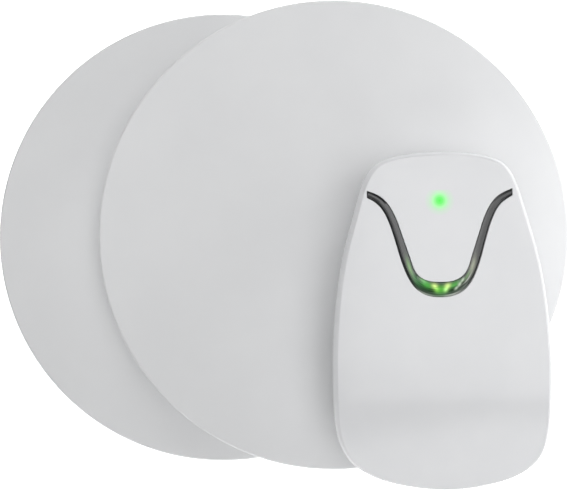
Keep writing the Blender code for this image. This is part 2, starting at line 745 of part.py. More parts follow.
def add_pillars(cover, bay_end):
    """Bosses for the case screws and the board's screws, tied to the bay's lower wall."""
    brace_end = bay_end + BAY_WALL / 2
    for x, y in CASE_SCREWS:
        join(cover, rod(CASE_BOSS, BOSS_START, SPLIT, 12), (x, y, 0))
        if y < 0:
            brace = box((x - BRACE_HALF, x + BRACE_HALF), (y, brace_end), (BRACE_LOW, SPLIT - 0.0005))
            join(cover, brace)
    for x, y in BOARD_SCREWS:
        join(cover, rod(PILLAR_RADIUS, BOSS_START, UNDER_BOARD), (x, y, 0))
        if y < 0:
            rib = box((x - RIB_HALF, x + RIB_HALF), (y, brace_end), (BRACE_LOW, UNDER_BOARD - 0.0005))
            join(cover, rib)


def add_keyhole(cover):
    pocket_x = (-KEYHOLE_POCKET_X, KEYHOLE_POCKET_X)
    join(cover, box(pocket_x, KEYHOLE_POCKET_Y, (OVERSHOOT, KEYHOLE_POCKET_TOP)))
    room_x = KEYHOLE_POCKET_X - KEYHOLE_POCKET_WALL
    room_y = (KEYHOLE_POCKET_Y[0] + KEYHOLE_POCKET_WALL, KEYHOLE_POCKET_Y[1] - KEYHOLE_POCKET_WALL)
    cut(cover, box((-room_x, room_x), room_y, (WALL, KEYHOLE_POCKET_TOP - KEYHOLE_POCKET_WALL)))
    cut(cover, keyhole(WALL + OVERSHOOT))


def add_rear_cover(parent, finishes):
    cover = add_part("rear_cover", rear_cover_mesh(), finishes["gloss_white"], parent)
    add_bay(cover)
    add_keyhole(cover)
    bore_radius, crown_depth, foot_depth = CASE_COUNTERBORE
    for x, y in CASE_SCREWS:
        depth = crown_depth if y > 0 else foot_depth
        cut(cover, rod(bore_radius, -OVERSHOOT, depth, 12), (x, y, 0))
        cut(cover, rod(CASE_CLEARANCE_HOLE, 2 * OVERSHOOT, SPLIT + OVERSHOOT), (x, y, 0))
    for x, y in BOARD_SCREWS:
        cut(cover, rod(BOARD_SCREW_HOLE, SPLIT - OVERSHOOT, BOARD_HIGH), (x, y, 0))
    for x, y in [(0.0, 0.0)] + circle(SOUND_CIRCLE, 6):
        cut(cover, rod(SOUND_HOLE, -OVERSHOOT, WALL + OVERSHOOT), (x, y + BUZZER_Y, 0))
    for side in (-1, 1):
        cut(cover, socket_window(), (side * SOCKET_X, 0, 0))


def add_battery_door(parent, finishes):
    half_low, half_high = DOOR_HALF
    step, top = DOOR_LEVELS
    section = [
        (-half_low, -OVERSHOOT),
        (half_low, -OVERSHOOT),
        (half_low, step),
        (half_high, step),
        (half_high, top),
        (-half_high, top),
        (-half_high, step),
        (-half_low, step),
    ]
    ends = (DOOR_TOP, UNIT_FOOT - 10 * OVERSHOOT)
    panel = lofted([[(x, y, z) for x, z in section] for y in ends])
    door = add_part("battery_door", panel, finishes["gloss_white"], parent)
    combine(door, lofted(back_outside_rings(SPLIT)), "INTERSECT")
    half, width, depth = DOOR_GRIP_SIZE
    for y in DOOR_GRIPS:
        cut(door, box((-half, half), (y, y + width), (-OVERSHOOT, depth)))


# Control unit: inside


def add_board(parent, finishes):
    outline = rounded_rectangle((-BOARD_HALF_WIDTH, BOARD_HALF_WIDTH), BOARD_ENDS, BOARD_CORNER)
    board = add_part("main_board", prism(outline, BOARD_LOW, BOARD_HIGH), finishes["board_green"], parent)
    for i, (x, y) in enumerate(BOARD_SCREWS):
        cut(board, rod(BOARD_SCREW_HOLE, BOARD_LOW - OVERSHOOT, BOARD_HIGH + OVERSHOOT), (x, y, 0))
        name = f"board_screw_{i + 1}"
        place = (x, y, ON_BOARD)
        add_screw(name, finishes["steel"], parent, place, BOARD_SCREW_HEAD, BOARD_SCREW_SHANK, point_up=False)
    chip = box(CHIP_X, CHIP_Y, (ON_BOARD, ON_BOARD + CHIP_HEIGHT))
    add_part("control_chip", chip, finishes["black_plastic"], parent)


def add_status_led(parent, finishes):
    flange_radius, flange_height = LED_FLANGE
    radius, straight = LED_LENS
    lamp = [(flange_radius, 0.0), (flange_radius, flange_height), (radius, flange_height), (radius, straight)]
    for angle in (30, 60, 80):
        out, up = math.cos(math.radians(angle)), math.sin(math.radians(angle))
        lamp.append((radius * out, straight + radius * up))
    place = (0, STATUS_LED_Y, ON_BOARD)
    add_part("status_led", turned(lamp, 12), finishes["green_lens"], parent, place)


def add_glow_leds(parent, finishes):
    """The two LEDs under the light guide and the black frame that keeps their light in."""
    half_x, half_y = GLOW_LED_HALF
    for side, name in ((-1, "glow_led_left"), (1, "glow_led_right")):
        led = box((-half_x, half_x), (-half_y, half_y), (0, GLOW_LED_HEIGHT))
        add_part(name, led, finishes["green_lens"], parent, (side * GLOW_LED_X, GLOW_LED_Y, ON_BOARD))
    inner = rectangle(*SHROUD_INNER)
    outer = rectangle(*SHROUD_OUTER)
    levels = ((inner, ON_BOARD), (outer, ON_BOARD), (outer, SHROUD_TOP), (inner, SHROUD_TOP))
    rings = [[(x, y, z) for x, y in outline] for outline, z in levels]
    add_part("light_shroud", lofted(rings, "none"), finishes["black_plastic"], parent)


def add_switch(parent, finishes):
    """The tact switch under the power key: a body and the stem that the key pushes."""
    sides = (-SWITCH_HALF, SWITCH_HALF)
    place = (0, KEY_PRESS_Y, ON_BOARD)
    case = box(sides, sides, (0, SWITCH_HEIGHT))
    body = add_part("switch_body", case, finishes["black_plastic"], parent, place)
    bore_radius, bore_floor = STEM_BORE
    cut(body, rod(bore_radius, bore_floor, SWITCH_HEIGHT + OVERSHOOT, 16), place)
    stem_low = ON_BOARD + STEM_FLOOR
    stem_top = UNIT_THICKNESS - WALL - KEY_PLUNGER[1] - GAP
    stem = rod(STEM_RADIUS, 0, stem_top - stem_low, 16)
    add_part("switch_stem", stem, finishes["soft_rubber"], parent, (0, KEY_PRESS_Y, stem_low))


def add_buzzer(parent, finishes):
    foot, body = BUZZER_RADIUS
    profile = [(foot, BUZZER_LOW), (body, BUZZER_LOW + body - foot), (body, UNDER_BOARD)]
    place = (0, BUZZER_Y, 0)
    sounder = add_part("buzzer", turned(profile, 24), finishes["black_plastic"], parent, place)
    port_radius, port_end = BUZZER_PORT
    cut(sounder, rod(port_radius, BUZZER_LOW - OVERSHOOT, port_end, 12), place)


def add_sockets(parent, finishes):
    body_half, mouth_half = SOCKET_HALF
    low, high = SOCKET_MOUTH
    mouth_y = (SOCKET_ENDS[0] - OVERSHOOT, SOCKET_ENDS[1] - SOCKET_FLOOR)
    for side, name in ((-1, "pad_socket_left"), (1, "pad_socket_right")):
        place = (side * SOCKET_X, 0, 0)
        block = box((-body_half, body_half), SOCKET_ENDS, (low - SOCKET_FLOOR, UNDER_BOARD))
        socket = add_part(name, block, finishes["black_plastic"], parent, place)
        cut(socket, box((-mouth_half, mouth_half), mouth_y, (low, high)), place)


def add_batteries(parent, finishes):
    """Four cells in series: each points the other way from its neighbour."""
    half_body = CELL_BODY / 2
    inward, along = CELL_SHOULDER
    profile = [
        (CELL_RADIUS - inward, -half_body),
        (CELL_RADIUS, -half_body + along),
        (CELL_RADIUS, half_body - along),
        (CELL_RADIUS - inward, half_body),
        (CELL_NUB_RADIUS, half_body),
        (CELL_NUB_RADIUS, half_body + CELL_NUB),
    ]
    shift = PLATE_FACE - GAP - CELL_NUB - half_body
    for i in range(4):
        towards = 1 if i % 2 == 0 else -1
        place = ((i - 1.5) * CELL_PITCH, BAY_MIDDLE + towards * shift, CELL_HEIGHT)
        lying = (-towards * math.pi / 2, 0, 0)
        add_part(f"battery_{i + 1}", turned(profile, 16), finishes["cell_wrap"], parent, place, lying)


def spring_path():
    """A conical coil, from inside its plate to the cell's flat end."""
    steps = 8
    start = -PLATE_THICKNESS / 2
    end = 2 * PLATE_FACE - CELL_BODY - CELL_NUB - 2 * GAP - SPRING_WIRE
    wide, narrow = SPRING_RADII
    path = []
    for i in range(SPRING_TURNS * steps + 1):
        done = i / (SPRING_TURNS * steps)
        angle = 2 * math.pi * SPRING_TURNS * done
        radius = wide + (narrow - wide) * done
        along = start + (end - start) * done
        path.append((radius * math.cos(angle), along, radius * math.sin(angle)))
    return path


def add_contact(name, parent, finishes, cells, end, springs):
    """A contact plate behind one or two cells at one end of the bay, with a coil where asked."""
    centres = [(cell - 2.5) * CELL_PITCH for cell in cells]
    inner = BAY_MIDDLE + end * PLATE_FACE
    outer = inner + end * PLATE_THICKNESS
    x_range = (min(centres) - PLATE_HALF, max(centres) + PLATE_HALF)
    z_range = (CELL_HEIGHT - PLATE_HALF, CELL_HEIGHT + PLATE_HALF)
    plate = box(x_range, (min(inner, outer), max(inner, outer)), z_range)
    contact = add_part(name, plate, finishes["nickel"], parent)
    for cell in springs:
        centre = (cell - 2.5) * CELL_PITCH
        turn = 0.0 if end < 0 else math.pi
        join(contact, tube(spring_path(), SPRING_WIRE, 4), (centre, inner, CELL_HEIGHT), (0, 0, turn))


def add_contacts(parent, finishes):
    add_contact("contact_positive", parent, finishes, cells=[1], end=1, springs=[])
    add_contact("contact_negative", parent, finishes, cells=[4], end=1, springs=[4])
    add_contact("contact_bridge_1", parent, finishes, cells=[1, 2], end=-1, springs=[1])
    add_contact("contact_bridge_2", parent, finishes, cells=[2, 3], end=1, springs=[2])
    add_contact("contact_bridge_3", parent, finishes, cells=[3, 4], end=-1, springs=[3])


def add_leads(parent, finishes):
    """The two battery leads, from the contact plates up to the main board."""
    plate_back = BAY_MIDDLE + PLATE_FACE + PLATE_THICKNESS + GAP
    for side, name, finish in ((-1, "lead_positive", "red_wire"), (1, "lead_negative", "black_wire")):
        x = side * 1.5 * CELL_PITCH
        knots = [
            (x, plate_back, 0.0132),
            (x, 0.0170, 0.0133),
            (x * 0.97, 0.0192, 0.0152),
            (x * 0.95, 0.0196, UNDER_BOARD),
        ]
        add_part(name, tube(smooth_curve(knots, 4), LEAD_RADIUS, 6), finishes[finish], parent)


def add_case_screws(parent, finishes):
    _, crown_depth, foot_depth = CASE_COUNTERBORE
    for i, (x, y) in enumerate(CASE_SCREWS):
        seat = (crown_depth if y > 0 else foot_depth) - GAP
        shank = (CASE_SCREW_RADIUS, CASE_SCREW_TIP - seat)
        name = f"case_screw_{i + 1}"
        add_screw(name, finishes["steel"], parent, (x, y, seat), CASE_SCREW_HEAD, shank, point_up=True)


def add_control_unit(parent, finishes):
    add_front_cover(parent, finishes)
    add_light_guide(parent, finishes)
    add_power_key(parent, finishes)
    add_rear_cover(parent, finishes)
    add_battery_door(parent, finishes)
    add_board(parent, finishes)
    add_status_led(parent, finishes)
    add_glow_leds(parent, finishes)
    add_switch(parent, finishes)
    add_buzzer(parent, finishes)
    add_sockets(parent, finishes)
    add_batteries(parent, finishes)
    add_contacts(parent, finishes)
    add_leads(parent, finishes)
    add_case_screws(parent, finishes)


def main():
    clear_scene()
    finishes = make_finishes()
    rear = frame_empty("rear_pad_frame", (0, 0, 0))
    front = frame_empty("front_pad_frame", FRONT_PAD_PLACE)
    unit = frame_empty("control_unit_frame", UNIT_PLACE, turn=UNIT_TURN)
    add_pad("rear_pad", rear, finishes)
    add_pad("front_pad", front, finishes)
    add_control_unit(unit, finishes)


main()
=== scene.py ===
"""Looks of a baby breathing-movement monitor: two round sensor pads and a battery control unit.

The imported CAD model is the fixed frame.  Fine skins replace its outside pieces, the pieces inside
keep their CAD solids, and every piece gets a procedural material.  Units are metres, +Z up.
"""

import json
import math

import bmesh
import bpy
import numpy as np
from mathutils import Matrix, Vector


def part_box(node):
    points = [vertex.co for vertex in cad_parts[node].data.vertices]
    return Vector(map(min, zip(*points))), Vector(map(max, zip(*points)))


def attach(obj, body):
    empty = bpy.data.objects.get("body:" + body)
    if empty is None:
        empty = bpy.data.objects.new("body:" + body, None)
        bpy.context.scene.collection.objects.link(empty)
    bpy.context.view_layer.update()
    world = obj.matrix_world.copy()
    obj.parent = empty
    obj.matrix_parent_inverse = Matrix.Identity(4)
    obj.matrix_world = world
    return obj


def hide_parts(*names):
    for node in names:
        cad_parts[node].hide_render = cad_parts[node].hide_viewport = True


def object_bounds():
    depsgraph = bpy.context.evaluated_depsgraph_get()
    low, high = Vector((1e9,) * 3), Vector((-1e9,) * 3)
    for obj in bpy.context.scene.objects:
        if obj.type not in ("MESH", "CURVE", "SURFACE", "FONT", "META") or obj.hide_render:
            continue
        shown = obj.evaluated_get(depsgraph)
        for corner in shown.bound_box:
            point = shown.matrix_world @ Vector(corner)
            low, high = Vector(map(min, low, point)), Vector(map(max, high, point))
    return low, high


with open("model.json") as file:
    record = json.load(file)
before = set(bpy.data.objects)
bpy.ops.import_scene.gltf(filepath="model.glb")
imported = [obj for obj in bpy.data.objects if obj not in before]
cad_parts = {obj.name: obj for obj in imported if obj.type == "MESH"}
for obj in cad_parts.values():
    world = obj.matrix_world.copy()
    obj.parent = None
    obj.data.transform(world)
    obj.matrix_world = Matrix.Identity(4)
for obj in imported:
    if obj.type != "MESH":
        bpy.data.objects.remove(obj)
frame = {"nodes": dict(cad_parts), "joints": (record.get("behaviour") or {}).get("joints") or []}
cad_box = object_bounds()

GAP = 0.0003  # the CAD model's clearance between neighbours
SEAM = 0.0001  # half of the narrow joint that the real shells show
OVERSHOOT = 0.001  # how far cutters and bosses reach past the surface they meet
THREAD_PITCH = 0.0009  # of all the screws

# Control unit, in its own frame: X across, Y towards the crown, Z from back to face
THICKNESS = 0.030
WALL = 0.0022
UNIT_NICK = 0.0002  # bevel along the seam
FRONT_BEVEL = (0.0008, 0.0010)  # where the inside wall meets the face: inward and along
BACK_BEVEL = (0.0010, 0.0012)  # and where it meets the back
EDGE_RADIUS = 0.0036  # the band round the face is an arc of this radius
EDGE_SWEEP = math.radians(62)  # that starts upright and meets the face at a clear edge
EDGE_SLIM = (-0.045, -0.062)  # between these Y the band slims down towards the foot
EDGE_FOOT = 0.45  # to this share of its size
EDGE_STEPS = 9
BACK_RADIUS = 0.0025
DRAFT = math.tan(math.radians(4.5))
SPLIT = 0.01315  # height of the joint between the front and rear covers
FACE_BEND = -0.014  # the face curves gently down below this Y
FACE_CREASE = -0.0317  # and more steeply below this crease
BEND_SLOPE = 0.08
CREASE_SLOPE = 0.13
FOOT_SLOPE = 0.21
FOOT_LEAN = 0.0028  # how far the foot's middle leans to the right
LEAN_START = -0.030
UNIT_FOOT = -0.0674
PAST_FOOT = -0.080  # cutters that are open at the foot end here
OUTLINE_KNOTS = [
    (0.0, 0.0684), (0.0120, 0.0677), (0.0205, 0.0660), (0.0263, 0.0627), (0.0302, 0.0566),
    (0.0336, 0.0460), (0.0382, 0.0295), (0.0417, 0.0090), (0.0433, -0.0140), (0.0432, FACE_CREASE),
    (0.0419, -0.0455), (0.0378, -0.0547), (0.0298, -0.0610), (0.0168, -0.0654), (0.0, UNIT_FOOT),
]

# The U-shaped light guide's outer and inner edges, from its right tip to the middle
GUIDE_OUTER_KNOTS = [
    (0.02855, 0.0504), (0.02435, 0.0476), (0.02035, 0.0410), (0.01675, 0.0295),
    (0.01375, 0.0205), (0.0094, 0.0139), (0.0046, 0.0114), (0.0, 0.0109),
]
GUIDE_INNER_KNOTS = [
    (0.02805, 0.0529), (0.02305, 0.0505), (0.01855, 0.0448), (0.01475, 0.0346),
    (0.01175, 0.0255), (0.0092, 0.0199), (0.0060, 0.0177), (0.0, 0.01685),
]
GUIDE_SHIFT = -0.0003  # the real guide and key sit this far left of the middle
GUIDE_DEPTH = 0.0035
GUIDE_LEAN = 0.0012  # how far the face leans outwards round the middle of the U
GUIDE_LEAN_REACH = 0.0125  # along the U, to where half of that lean is left
GUIDE_MARGIN = 0.00005  # the guide and the key are this much smaller than their openings
GUIDE_LIP = 0.00014  # rounding of the edges beside the guide
KEY_PLUNGER = (0.0018, 0.0005)  # radius, and how far it stands below the key
KEY_PRESS_Y = 0.0247
HINGE_Y = 0.05305  # the power key's upper edge, in line with the guide's tips
HINGE_Z = THICKNESS - WALL / 2
LAMP_PLACE = (-0.0004, 0.0488)  # the status lamp shines through the key here

CASE_SCREWS = [(-0.022, 0.056), (0.022, 0.056), (-0.0288, -0.0535), (0.0288, -0.0535)]
CASE_BOSS = 0.0035
CASE_SCREW_HEAD = (0.0025, 0.0018)
CASE_SCREW_RADIUS = 0.0012
CASE_SCREW_TIP = 0.0182
CASE_COUNTERBORE = (0.0029, 0.0035, 0.0065)  # radius, and depth at the crown and at the foot
CASE_CLEARANCE_HOLE = 0.0018
CASE_PILOT_HOLE = 0.0015
CASE_PILOT_TOP = 0.0215
BRACE_HALF = 0.0015  # a brace ties each boss at the foot to the battery bay
DOOR_TOP = 0.0170
DOOR_HALF = (0.0320, 0.0333)
DOOR_LEVELS = (0.0012, 0.0022)
DOOR_MARGIN = 0.00015  # between the door and the cover
DOOR_LEDGE_X = 0.0358  # half width of the ledge that holds the door's grooves
DOOR_LEDGE_REACH = 0.003  # how far the ledge runs past the door's end
DOOR_LEDGE_ROOF = 0.0015  # plastic over the grooves
DOOR_GRIPS = [-0.030, -0.033, -0.036, -0.039]  # Y of the finger grooves
DOOR_GRIP_HALF = 0.009
BAY_MIDDLE = -0.01715
BAY_HALF = (0.0304, 0.03075)
BAY_CEILING = 0.0173
BAY_WALL = 0.0016
SOCKET_X = 0.014
SOCKET_HALF = (0.0065, 0.0049)  # half width of the body and of the mouth
SOCKET_ENDS = (-0.0600, -0.0499)
SOCKET_MOUTH = (0.0095, 0.0161)
SOCKET_FLOOR = 0.0018  # plastic behind the mouth
SOCKET_NOTCH = [(0.0031, 0.0006), (0.0016, 0.0014)]  # its steps: half width, height over the mouth
SOCKET_MARGIN = 0.0004  # the cover's window is this much larger than the mouth
BUZZER_Y = 0.028
SOUND_HOLE = 0.0010
SOUND_CIRCLE = 0.0050
KEYHOLE_Y = 0.0460
KEYHOLE_RADIUS = 0.0043
KEYHOLE_SLOT = (0.0023, 0.0545)  # half width and upper end
POCKET_HALF = 0.0065  # half width of the closed box behind the keyhole
POCKET_Y = (0.0402, 0.0580)
POCKET_TOP = (0.0073, 0.0085)  # inside and outside
POCKET_WALL = 0.0013
LEAD_HOLE_HALF = 0.0012
LEAD_HOLE_Z = (0.0120, 0.0144)
CELL_RADIUS = 0.0071
CELL_HALF = 0.0246  # half the length of a cell without its nub
CELL_NUB = 0.0013
CELL_PITCH = 0.0149
CELL_HEIGHT = 0.0097
PLATE_FACE = 0.02985  # from the middle of the bay to a contact plate

# Sensor pads
PAD_EDGE = 0.0012
PAD_DRAFT = 0.0008
PAD_WALL = 0.0022
PAD_SEAM = 0.0066
PAD_NICK = 0.00025  # bevel along the seam
PAD_FILLET = 0.0022  # rounding inside the cover
PAD_CORNER = 0.0020  # chamfer inside the base
PAD_FOOT = 0.0020  # rounding round the underside
PAD_TUCK = 0.0003  # how far the side leans in below the seam
PAD_SEGMENTS = 288
PIEZO_RING = (0.0215, 0.0240)  # inner and outer radius of the ring that carries the disc
GLAND_ANGLE = math.radians(-60)
GLAND_HOLE = 0.0033
PAD_SCREW_CIRCLE = 0.082
PAD_SCREW_HEAD = (0.0023, 0.0017)
PAD_SCREW_SHANK = (0.0011, 0.0092)
PAD_BOSS_LOW = 0.0040  # radius of the base's bosses
PAD_BOSS_HIGH = 0.0034  # radius of the cover's bosses
PAD_COUNTERBORE = (0.0027, 0.0027)  # radius and depth
PAD_CLEARANCE_HOLE = 0.0016
PAD_PILOT_HOLE = 0.0014
PAD_PILOT_TOP = 0.0128


# Curves and outlines


def smooth_curve(knots, steps, closed=False):
    """Points of the cubic spline through the knots, with the given number of steps between two."""
    knots = np.array(knots + knots[:1] if closed else knots)
    spans = np.linalg.norm(np.diff(knots, axis=0), axis=1)
    slopes = np.diff(knots, axis=0) / spans[:, None]
    matrix = np.eye(len(knots))
    right = np.zeros_like(knots)
    for i in range(1, len(spans)):
        matrix[i, i - 1 : i + 2] = spans[i - 1], 2 * (spans[i - 1] + spans[i]), spans[i]
        right[i] = 6 * (slopes[i] - slopes[i - 1])
    if closed:
        matrix[0, -1] = -1
        matrix[-1, :2] = 2 * spans[0], spans[0]
        matrix[-1, -2:] = spans[-1], 2 * spans[-1]
        right[-1] = 6 * (slopes[0] - slopes[-1])
    bend = np.linalg.solve(matrix, right)
    points = []
    for i, span in enumerate(spans):
        for t in np.arange(steps) / steps:
            s = 1 - t
            curved = (s**3 - s) * bend[i] + (t**3 - t) * bend[i + 1]
            points.append(s * knots[i] + t * knots[i + 1] + curved * span**2 / 6)
    if not closed:
        points.append(knots[-1])
    return [tuple(float(value) for value in point) for point in points]


def mirrored(half):
    """The whole of a line whose right half is given, ending on the axis: right end to left end."""
    return half + [(-x, y) for x, y in reversed(half[:-1])]


def moved_sideways(points, distance, closed=False):
    """The line moved to its left, as seen along it, by a distance that may depend on Y."""
    moved = []
    last = len(points) - 1
    for i, (x, y) in enumerate(points):
        before = points[i - 1] if closed or i > 0 else points[0]
        after = points[(i + 1) % len(points)] if closed or i < last else points[last]
        along = Vector((after[0] - before[0], after[1] - before[1])).normalized()
        step = distance(y) if callable(distance) else distance
        moved.append((x - along.y * step, y + along.x * step))
    return moved


def circle(radius, count, centre=(0.0, 0.0)):
    angles = [2 * math.pi * i / count for i in range(count)]
    return [(centre[0] + radius * math.cos(a), centre[1] + radius * math.sin(a)) for a in angles]


def quarter(radius, steps):
    """How far in and how far down a quarter round has gone, from its side to its top."""
    angles = [math.pi / 2 * i / steps for i in range(steps + 1)]
    return [(radius * (1 - math.cos(a)), radius * (1 - math.sin(a))) for a in angles]


def leaning(points):
    """The outline with its foot leaning to the right."""
    reach = LEAN_START - UNIT_FOOT
    return [(x + FOOT_LEAN * max(0.0, (LEAN_START - y) / reach) ** 2, y) for x, y in points]


OUTLINE = leaning(
    smooth_curve(OUTLINE_KNOTS[:-1] + [(-x, y) for x, y in reversed(OUTLINE_KNOTS[1:])], 12, closed=True)
)
GUIDE_OUTER = [(x + GUIDE_SHIFT, y) for x, y in smooth_curve(mirrored(GUIDE_OUTER_KNOTS), steps=16)]
GUIDE_INNER = [(x + GUIDE_SHIFT, y) for x, y in smooth_curve(mirrored(GUIDE_INNER_KNOTS), steps=16)]


# Meshes


def lofted(rings, caps="flat"):
    """A closed mesh through rings of equal length.

    caps is 'flat' for one face at each end, 'rows' for faces across from the right side of a
    mirrored ring to its left, and 'none' to join the last ring to the first.
    """
    form = bmesh.new()
    loops = [[form.verts.new(point) for point in ring] for ring in rings]
    pairs = list(zip(loops, loops[1:]))
    if caps == "none":
        pairs.append((loops[-1], loops[0]))
    for lower, upper in pairs:
        for i in range(len(lower)):
            j = (i + 1) % len(lower)
            form.faces.new((lower[i], lower[j], upper[j], upper[i]))
    if caps == "flat":
        form.faces.new(reversed(loops[0]))
        form.faces.new(loops[-1])
    if caps == "rows":
        for loop in (loops[0], loops[-1]):
            add_rows(form, loop)
    return finished(form)


def add_rows(form, loop):
    """Closes a mirrored loop, which starts on the axis, with faces from side to side."""
    count = len(loop)
    for i in range(count // 2):
        corners = [loop[i], loop[i + 1], loop[count - i - 1], loop[-i]]
        form.faces.new(list(dict.fromkeys(corners)))


def finished(form):
    bmesh.ops.recalc_face_normals(form, faces=form.faces)
    mesh = bpy.data.meshes.new("shape")
    form.to_mesh(mesh)
    form.free()
    return mesh


def prism(outline, low, high):
    return lofted([[(x, y, z) for x, y in outline] for z in (low, high)])


def about(middle, half):
    return (middle - half, middle + half)


def box(x_range, y_range, z_range):
    (x0, x1), (y0, y1) = x_range, y_range
    return prism([(x0, y0), (x1, y0), (x1, y1), (x0, y1)], *z_range)


def turned(profile, segments, caps="flat"):
    """A profile of (radius, height) points, turned about Z."""
    return lofted([[(x, y, z) for x, y in circle(r, segments)] for r, z in profile], caps)


def rod(radius, low, high, sides):
    return turned([(radius, low), (radius, high)], sides)


def flared_hole(radius, flare, depth, sides):
    """A cutter for a hole in the underside; flare is its mouth's extra radius and depth."""
    widening, flare_depth = flare
    return turned([(radius + widening, -OVERSHOOT), (radius, flare_depth), (radius, depth)], sides)


def tube(path, radius, sides):
    """A round rod along a path, with flat ends."""
    path = [Vector(point) for point in path]
    across = Vector((0.3, 0.2, 1.0))
    rings = []
    for i, point in enumerate(path):
        along = (path[min(i + 1, len(path) - 1)] - path[max(i - 1, 0)]).normalized()
        across = (across - along * across.dot(along)).normalized()
        other = along.cross(across)
        rings.append([point + across * x + other * y for x, y in circle(radius, sides)])
    return lofted(rings)


def placed(place=(0, 0, 0), rotation=(0, 0, 0)):
    """A matrix from a place and Euler angles."""
    turned_by = Matrix.Rotation(rotation[2], 4, "Z") @ Matrix.Rotation(rotation[1], 4, "Y")
    return Matrix.Translation(place) @ turned_by @ Matrix.Rotation(rotation[0], 4, "X")


def new_object(name, data):
    item = bpy.data.objects.new(name, data)
    bpy.context.scene.collection.objects.link(item)
    return item


class Shape:
    """A mesh that is cut and joined with others before it becomes a piece."""

    def __init__(self, mesh):
        self.item = new_object("work", mesh)
        self.helpers = []

    def combine(self, mesh, operation, matrix=Matrix.Identity(4)):
        helper = new_object("helper", mesh)
        helper.matrix_world = matrix
        modifier = self.item.modifiers.new("combine", "BOOLEAN")
        modifier.object = helper
        modifier.operation = operation
        modifier.solver = "EXACT"
        self.helpers.append(helper)
        return self

    def cut(self, mesh, matrix=Matrix.Identity(4)):
        return self.combine(mesh, "DIFFERENCE", matrix)

    def join(self, mesh, matrix=Matrix.Identity(4)):
        return self.combine(mesh, "UNION", matrix)

    def done(self):
        """The finished mesh; the working objects go."""
        bpy.context.view_layer.update()
        evaluated = self.item.evaluated_get(bpy.context.evaluated_depsgraph_get())
        mesh = bpy.data.meshes.new_from_object(evaluated)
        for helper in [self.item, *self.helpers]:
            bpy.data.objects.remove(helper, do_unlink=True)
        return mesh


def add_piece(name, mesh, material, place, body, slot, nodes=(), sharp=32, round_edges=0.0):
    """A piece in its place, riding on a CAD body and standing for the CAD nodes given."""
    mesh.shade_smooth()
    mesh.set_sharp_from_angle(angle=math.radians(sharp))
    mesh.materials.clear()
    mesh.materials.append(material)
    mesh.name = name
    piece = new_object(name, mesh)
    piece.matrix_world = place
    if round_edges:
        bevel = piece.modifiers.new("round edges", "BEVEL")
        bevel.width = round_edges
        bevel.segments = 2
        bevel.limit_method = "ANGLE"
        bevel.angle_limit = math.radians(40)
        bevel.harden_normals = False
    normals = piece.modifiers.new("face weighted normals", "WEIGHTED_NORMAL")
    normals.keep_sharp = True
    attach(piece, body)
    if nodes:
        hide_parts(*nodes)


def add_skin(node, mesh, material, place, body, slot, **edges):
    """The finer piece that stands for one CAD node."""
    add_piece(f"{node}_skin", mesh, material, place, body, slot, [node], **edges)


# Materials


class Paint:
    """A Principled material and short ways to add the nodes that drive it."""

    def __init__(self, name, roughness, metallic=0.0, **constant):
        self.material = bpy.data.materials.new(name)
        self.material.use_nodes = True
        self.tree = self.material.node_tree
        self.shader = self.tree.nodes["Principled BSDF"]
        self.shader.inputs["Metallic"].default_value = metallic
        self.shader.inputs["Roughness"].default_value = roughness
        for socket, value in constant.items():
            self.shader.inputs[socket.replace("_", " ")].default_value = value

    def add(self, kind, inputs=(), output=0, **settings):
        """A node with its settings, its inputs by name or number, and one of its outputs back."""
        node = self.tree.nodes.new(kind)
        for key, value in settings.items():
            setattr(node, key, value)
        for key, value in dict(inputs).items():
            if isinstance(value, bpy.types.NodeSocket):
                self.tree.links.new(value, node.inputs[key])
            else:
                node.inputs[key].default_value = value
        return node.outputs[output]

    def math(self, operation, first, second=0.0, clamp=False):
        return self.add("ShaderNodeMath", {0: first, 1: second}, operation=operation, use_clamp=clamp)

    def place(self, scale=(1.0, 1.0, 1.0)):
        """Position in the piece's own frame, stretched by scale."""
        own = self.add("ShaderNodeTexCoord", output=3)
        return self.add("ShaderNodeMapping", {"Vector": own, "Scale": scale})

    def noise(self, scale, detail=3.0, rough=0.5, where=None):
        inputs = {"Vector": where or self.place(), "Scale": scale, "Detail": detail, "Roughness": rough}
        return self.add("ShaderNodeTexNoise", inputs)

    def ramp(self, amount, stops, smooth=False):
        """Colour by amount; stops are (position, colour)."""
        made = self.add("ShaderNodeValToRGB", {"Fac": amount})
        ramp = made.node.color_ramp
        ramp.interpolation = "EASE" if smooth else "LINEAR"
        while len(ramp.elements) < len(stops):
            ramp.elements.new(0.5)
        for element, (position, colour) in zip(ramp.elements, stops):
            element.position = position
            element.color = (*colour, 1.0)
        return made

    def span(self, value, low, high, new_low=0.0, new_high=1.0):
        inputs = {"Value": value, "From Min": low, "From Max": high, "To Min": new_low, "To Max": new_high}
        return self.add("ShaderNodeMapRange", inputs)

    def mix(self, amount, first, second, blend="MIX"):
        """Colour between first and second; with blend 'ADD', first plus an amount of second."""
        inputs = {0: amount, 6: first, 7: second}
        return self.add("ShaderNodeMix", inputs, output=2, data_type="RGBA", blend_type=blend)

    def bump(self, height, distance, strength=1.0):
        inputs = {"Height": height, "Distance": distance, "Strength": strength}
        self.set("Normal", self.add("ShaderNodeBump", inputs))

    def away_from_axis(self, centre=(0.0, 0.0)):
        """Distance from a line along Z, in the piece's own frame."""
        own = self.add("ShaderNodeTexCoord", output=3)
        offset = self.add("ShaderNodeVectorMath", {0: own, 1: (*centre, 0.0)}, operation="SUBTRACT")
        flat = self.add("ShaderNodeVectorMath", {0: offset, 1: (1.0, 1.0, 0.0)}, operation="MULTIPLY")
        return self.add("ShaderNodeVectorMath", {0: flat}, output=1, operation="LENGTH")

    def glow(self, colour):
        self.set("Emission Color", colour)
        self.shader.inputs["Emission Strength"].default_value = 1.0

    def set(self, socket, value):
        self.tree.links.new(value, self.shader.inputs[socket])


def rgb(*colour):
    return (*colour, 1.0)


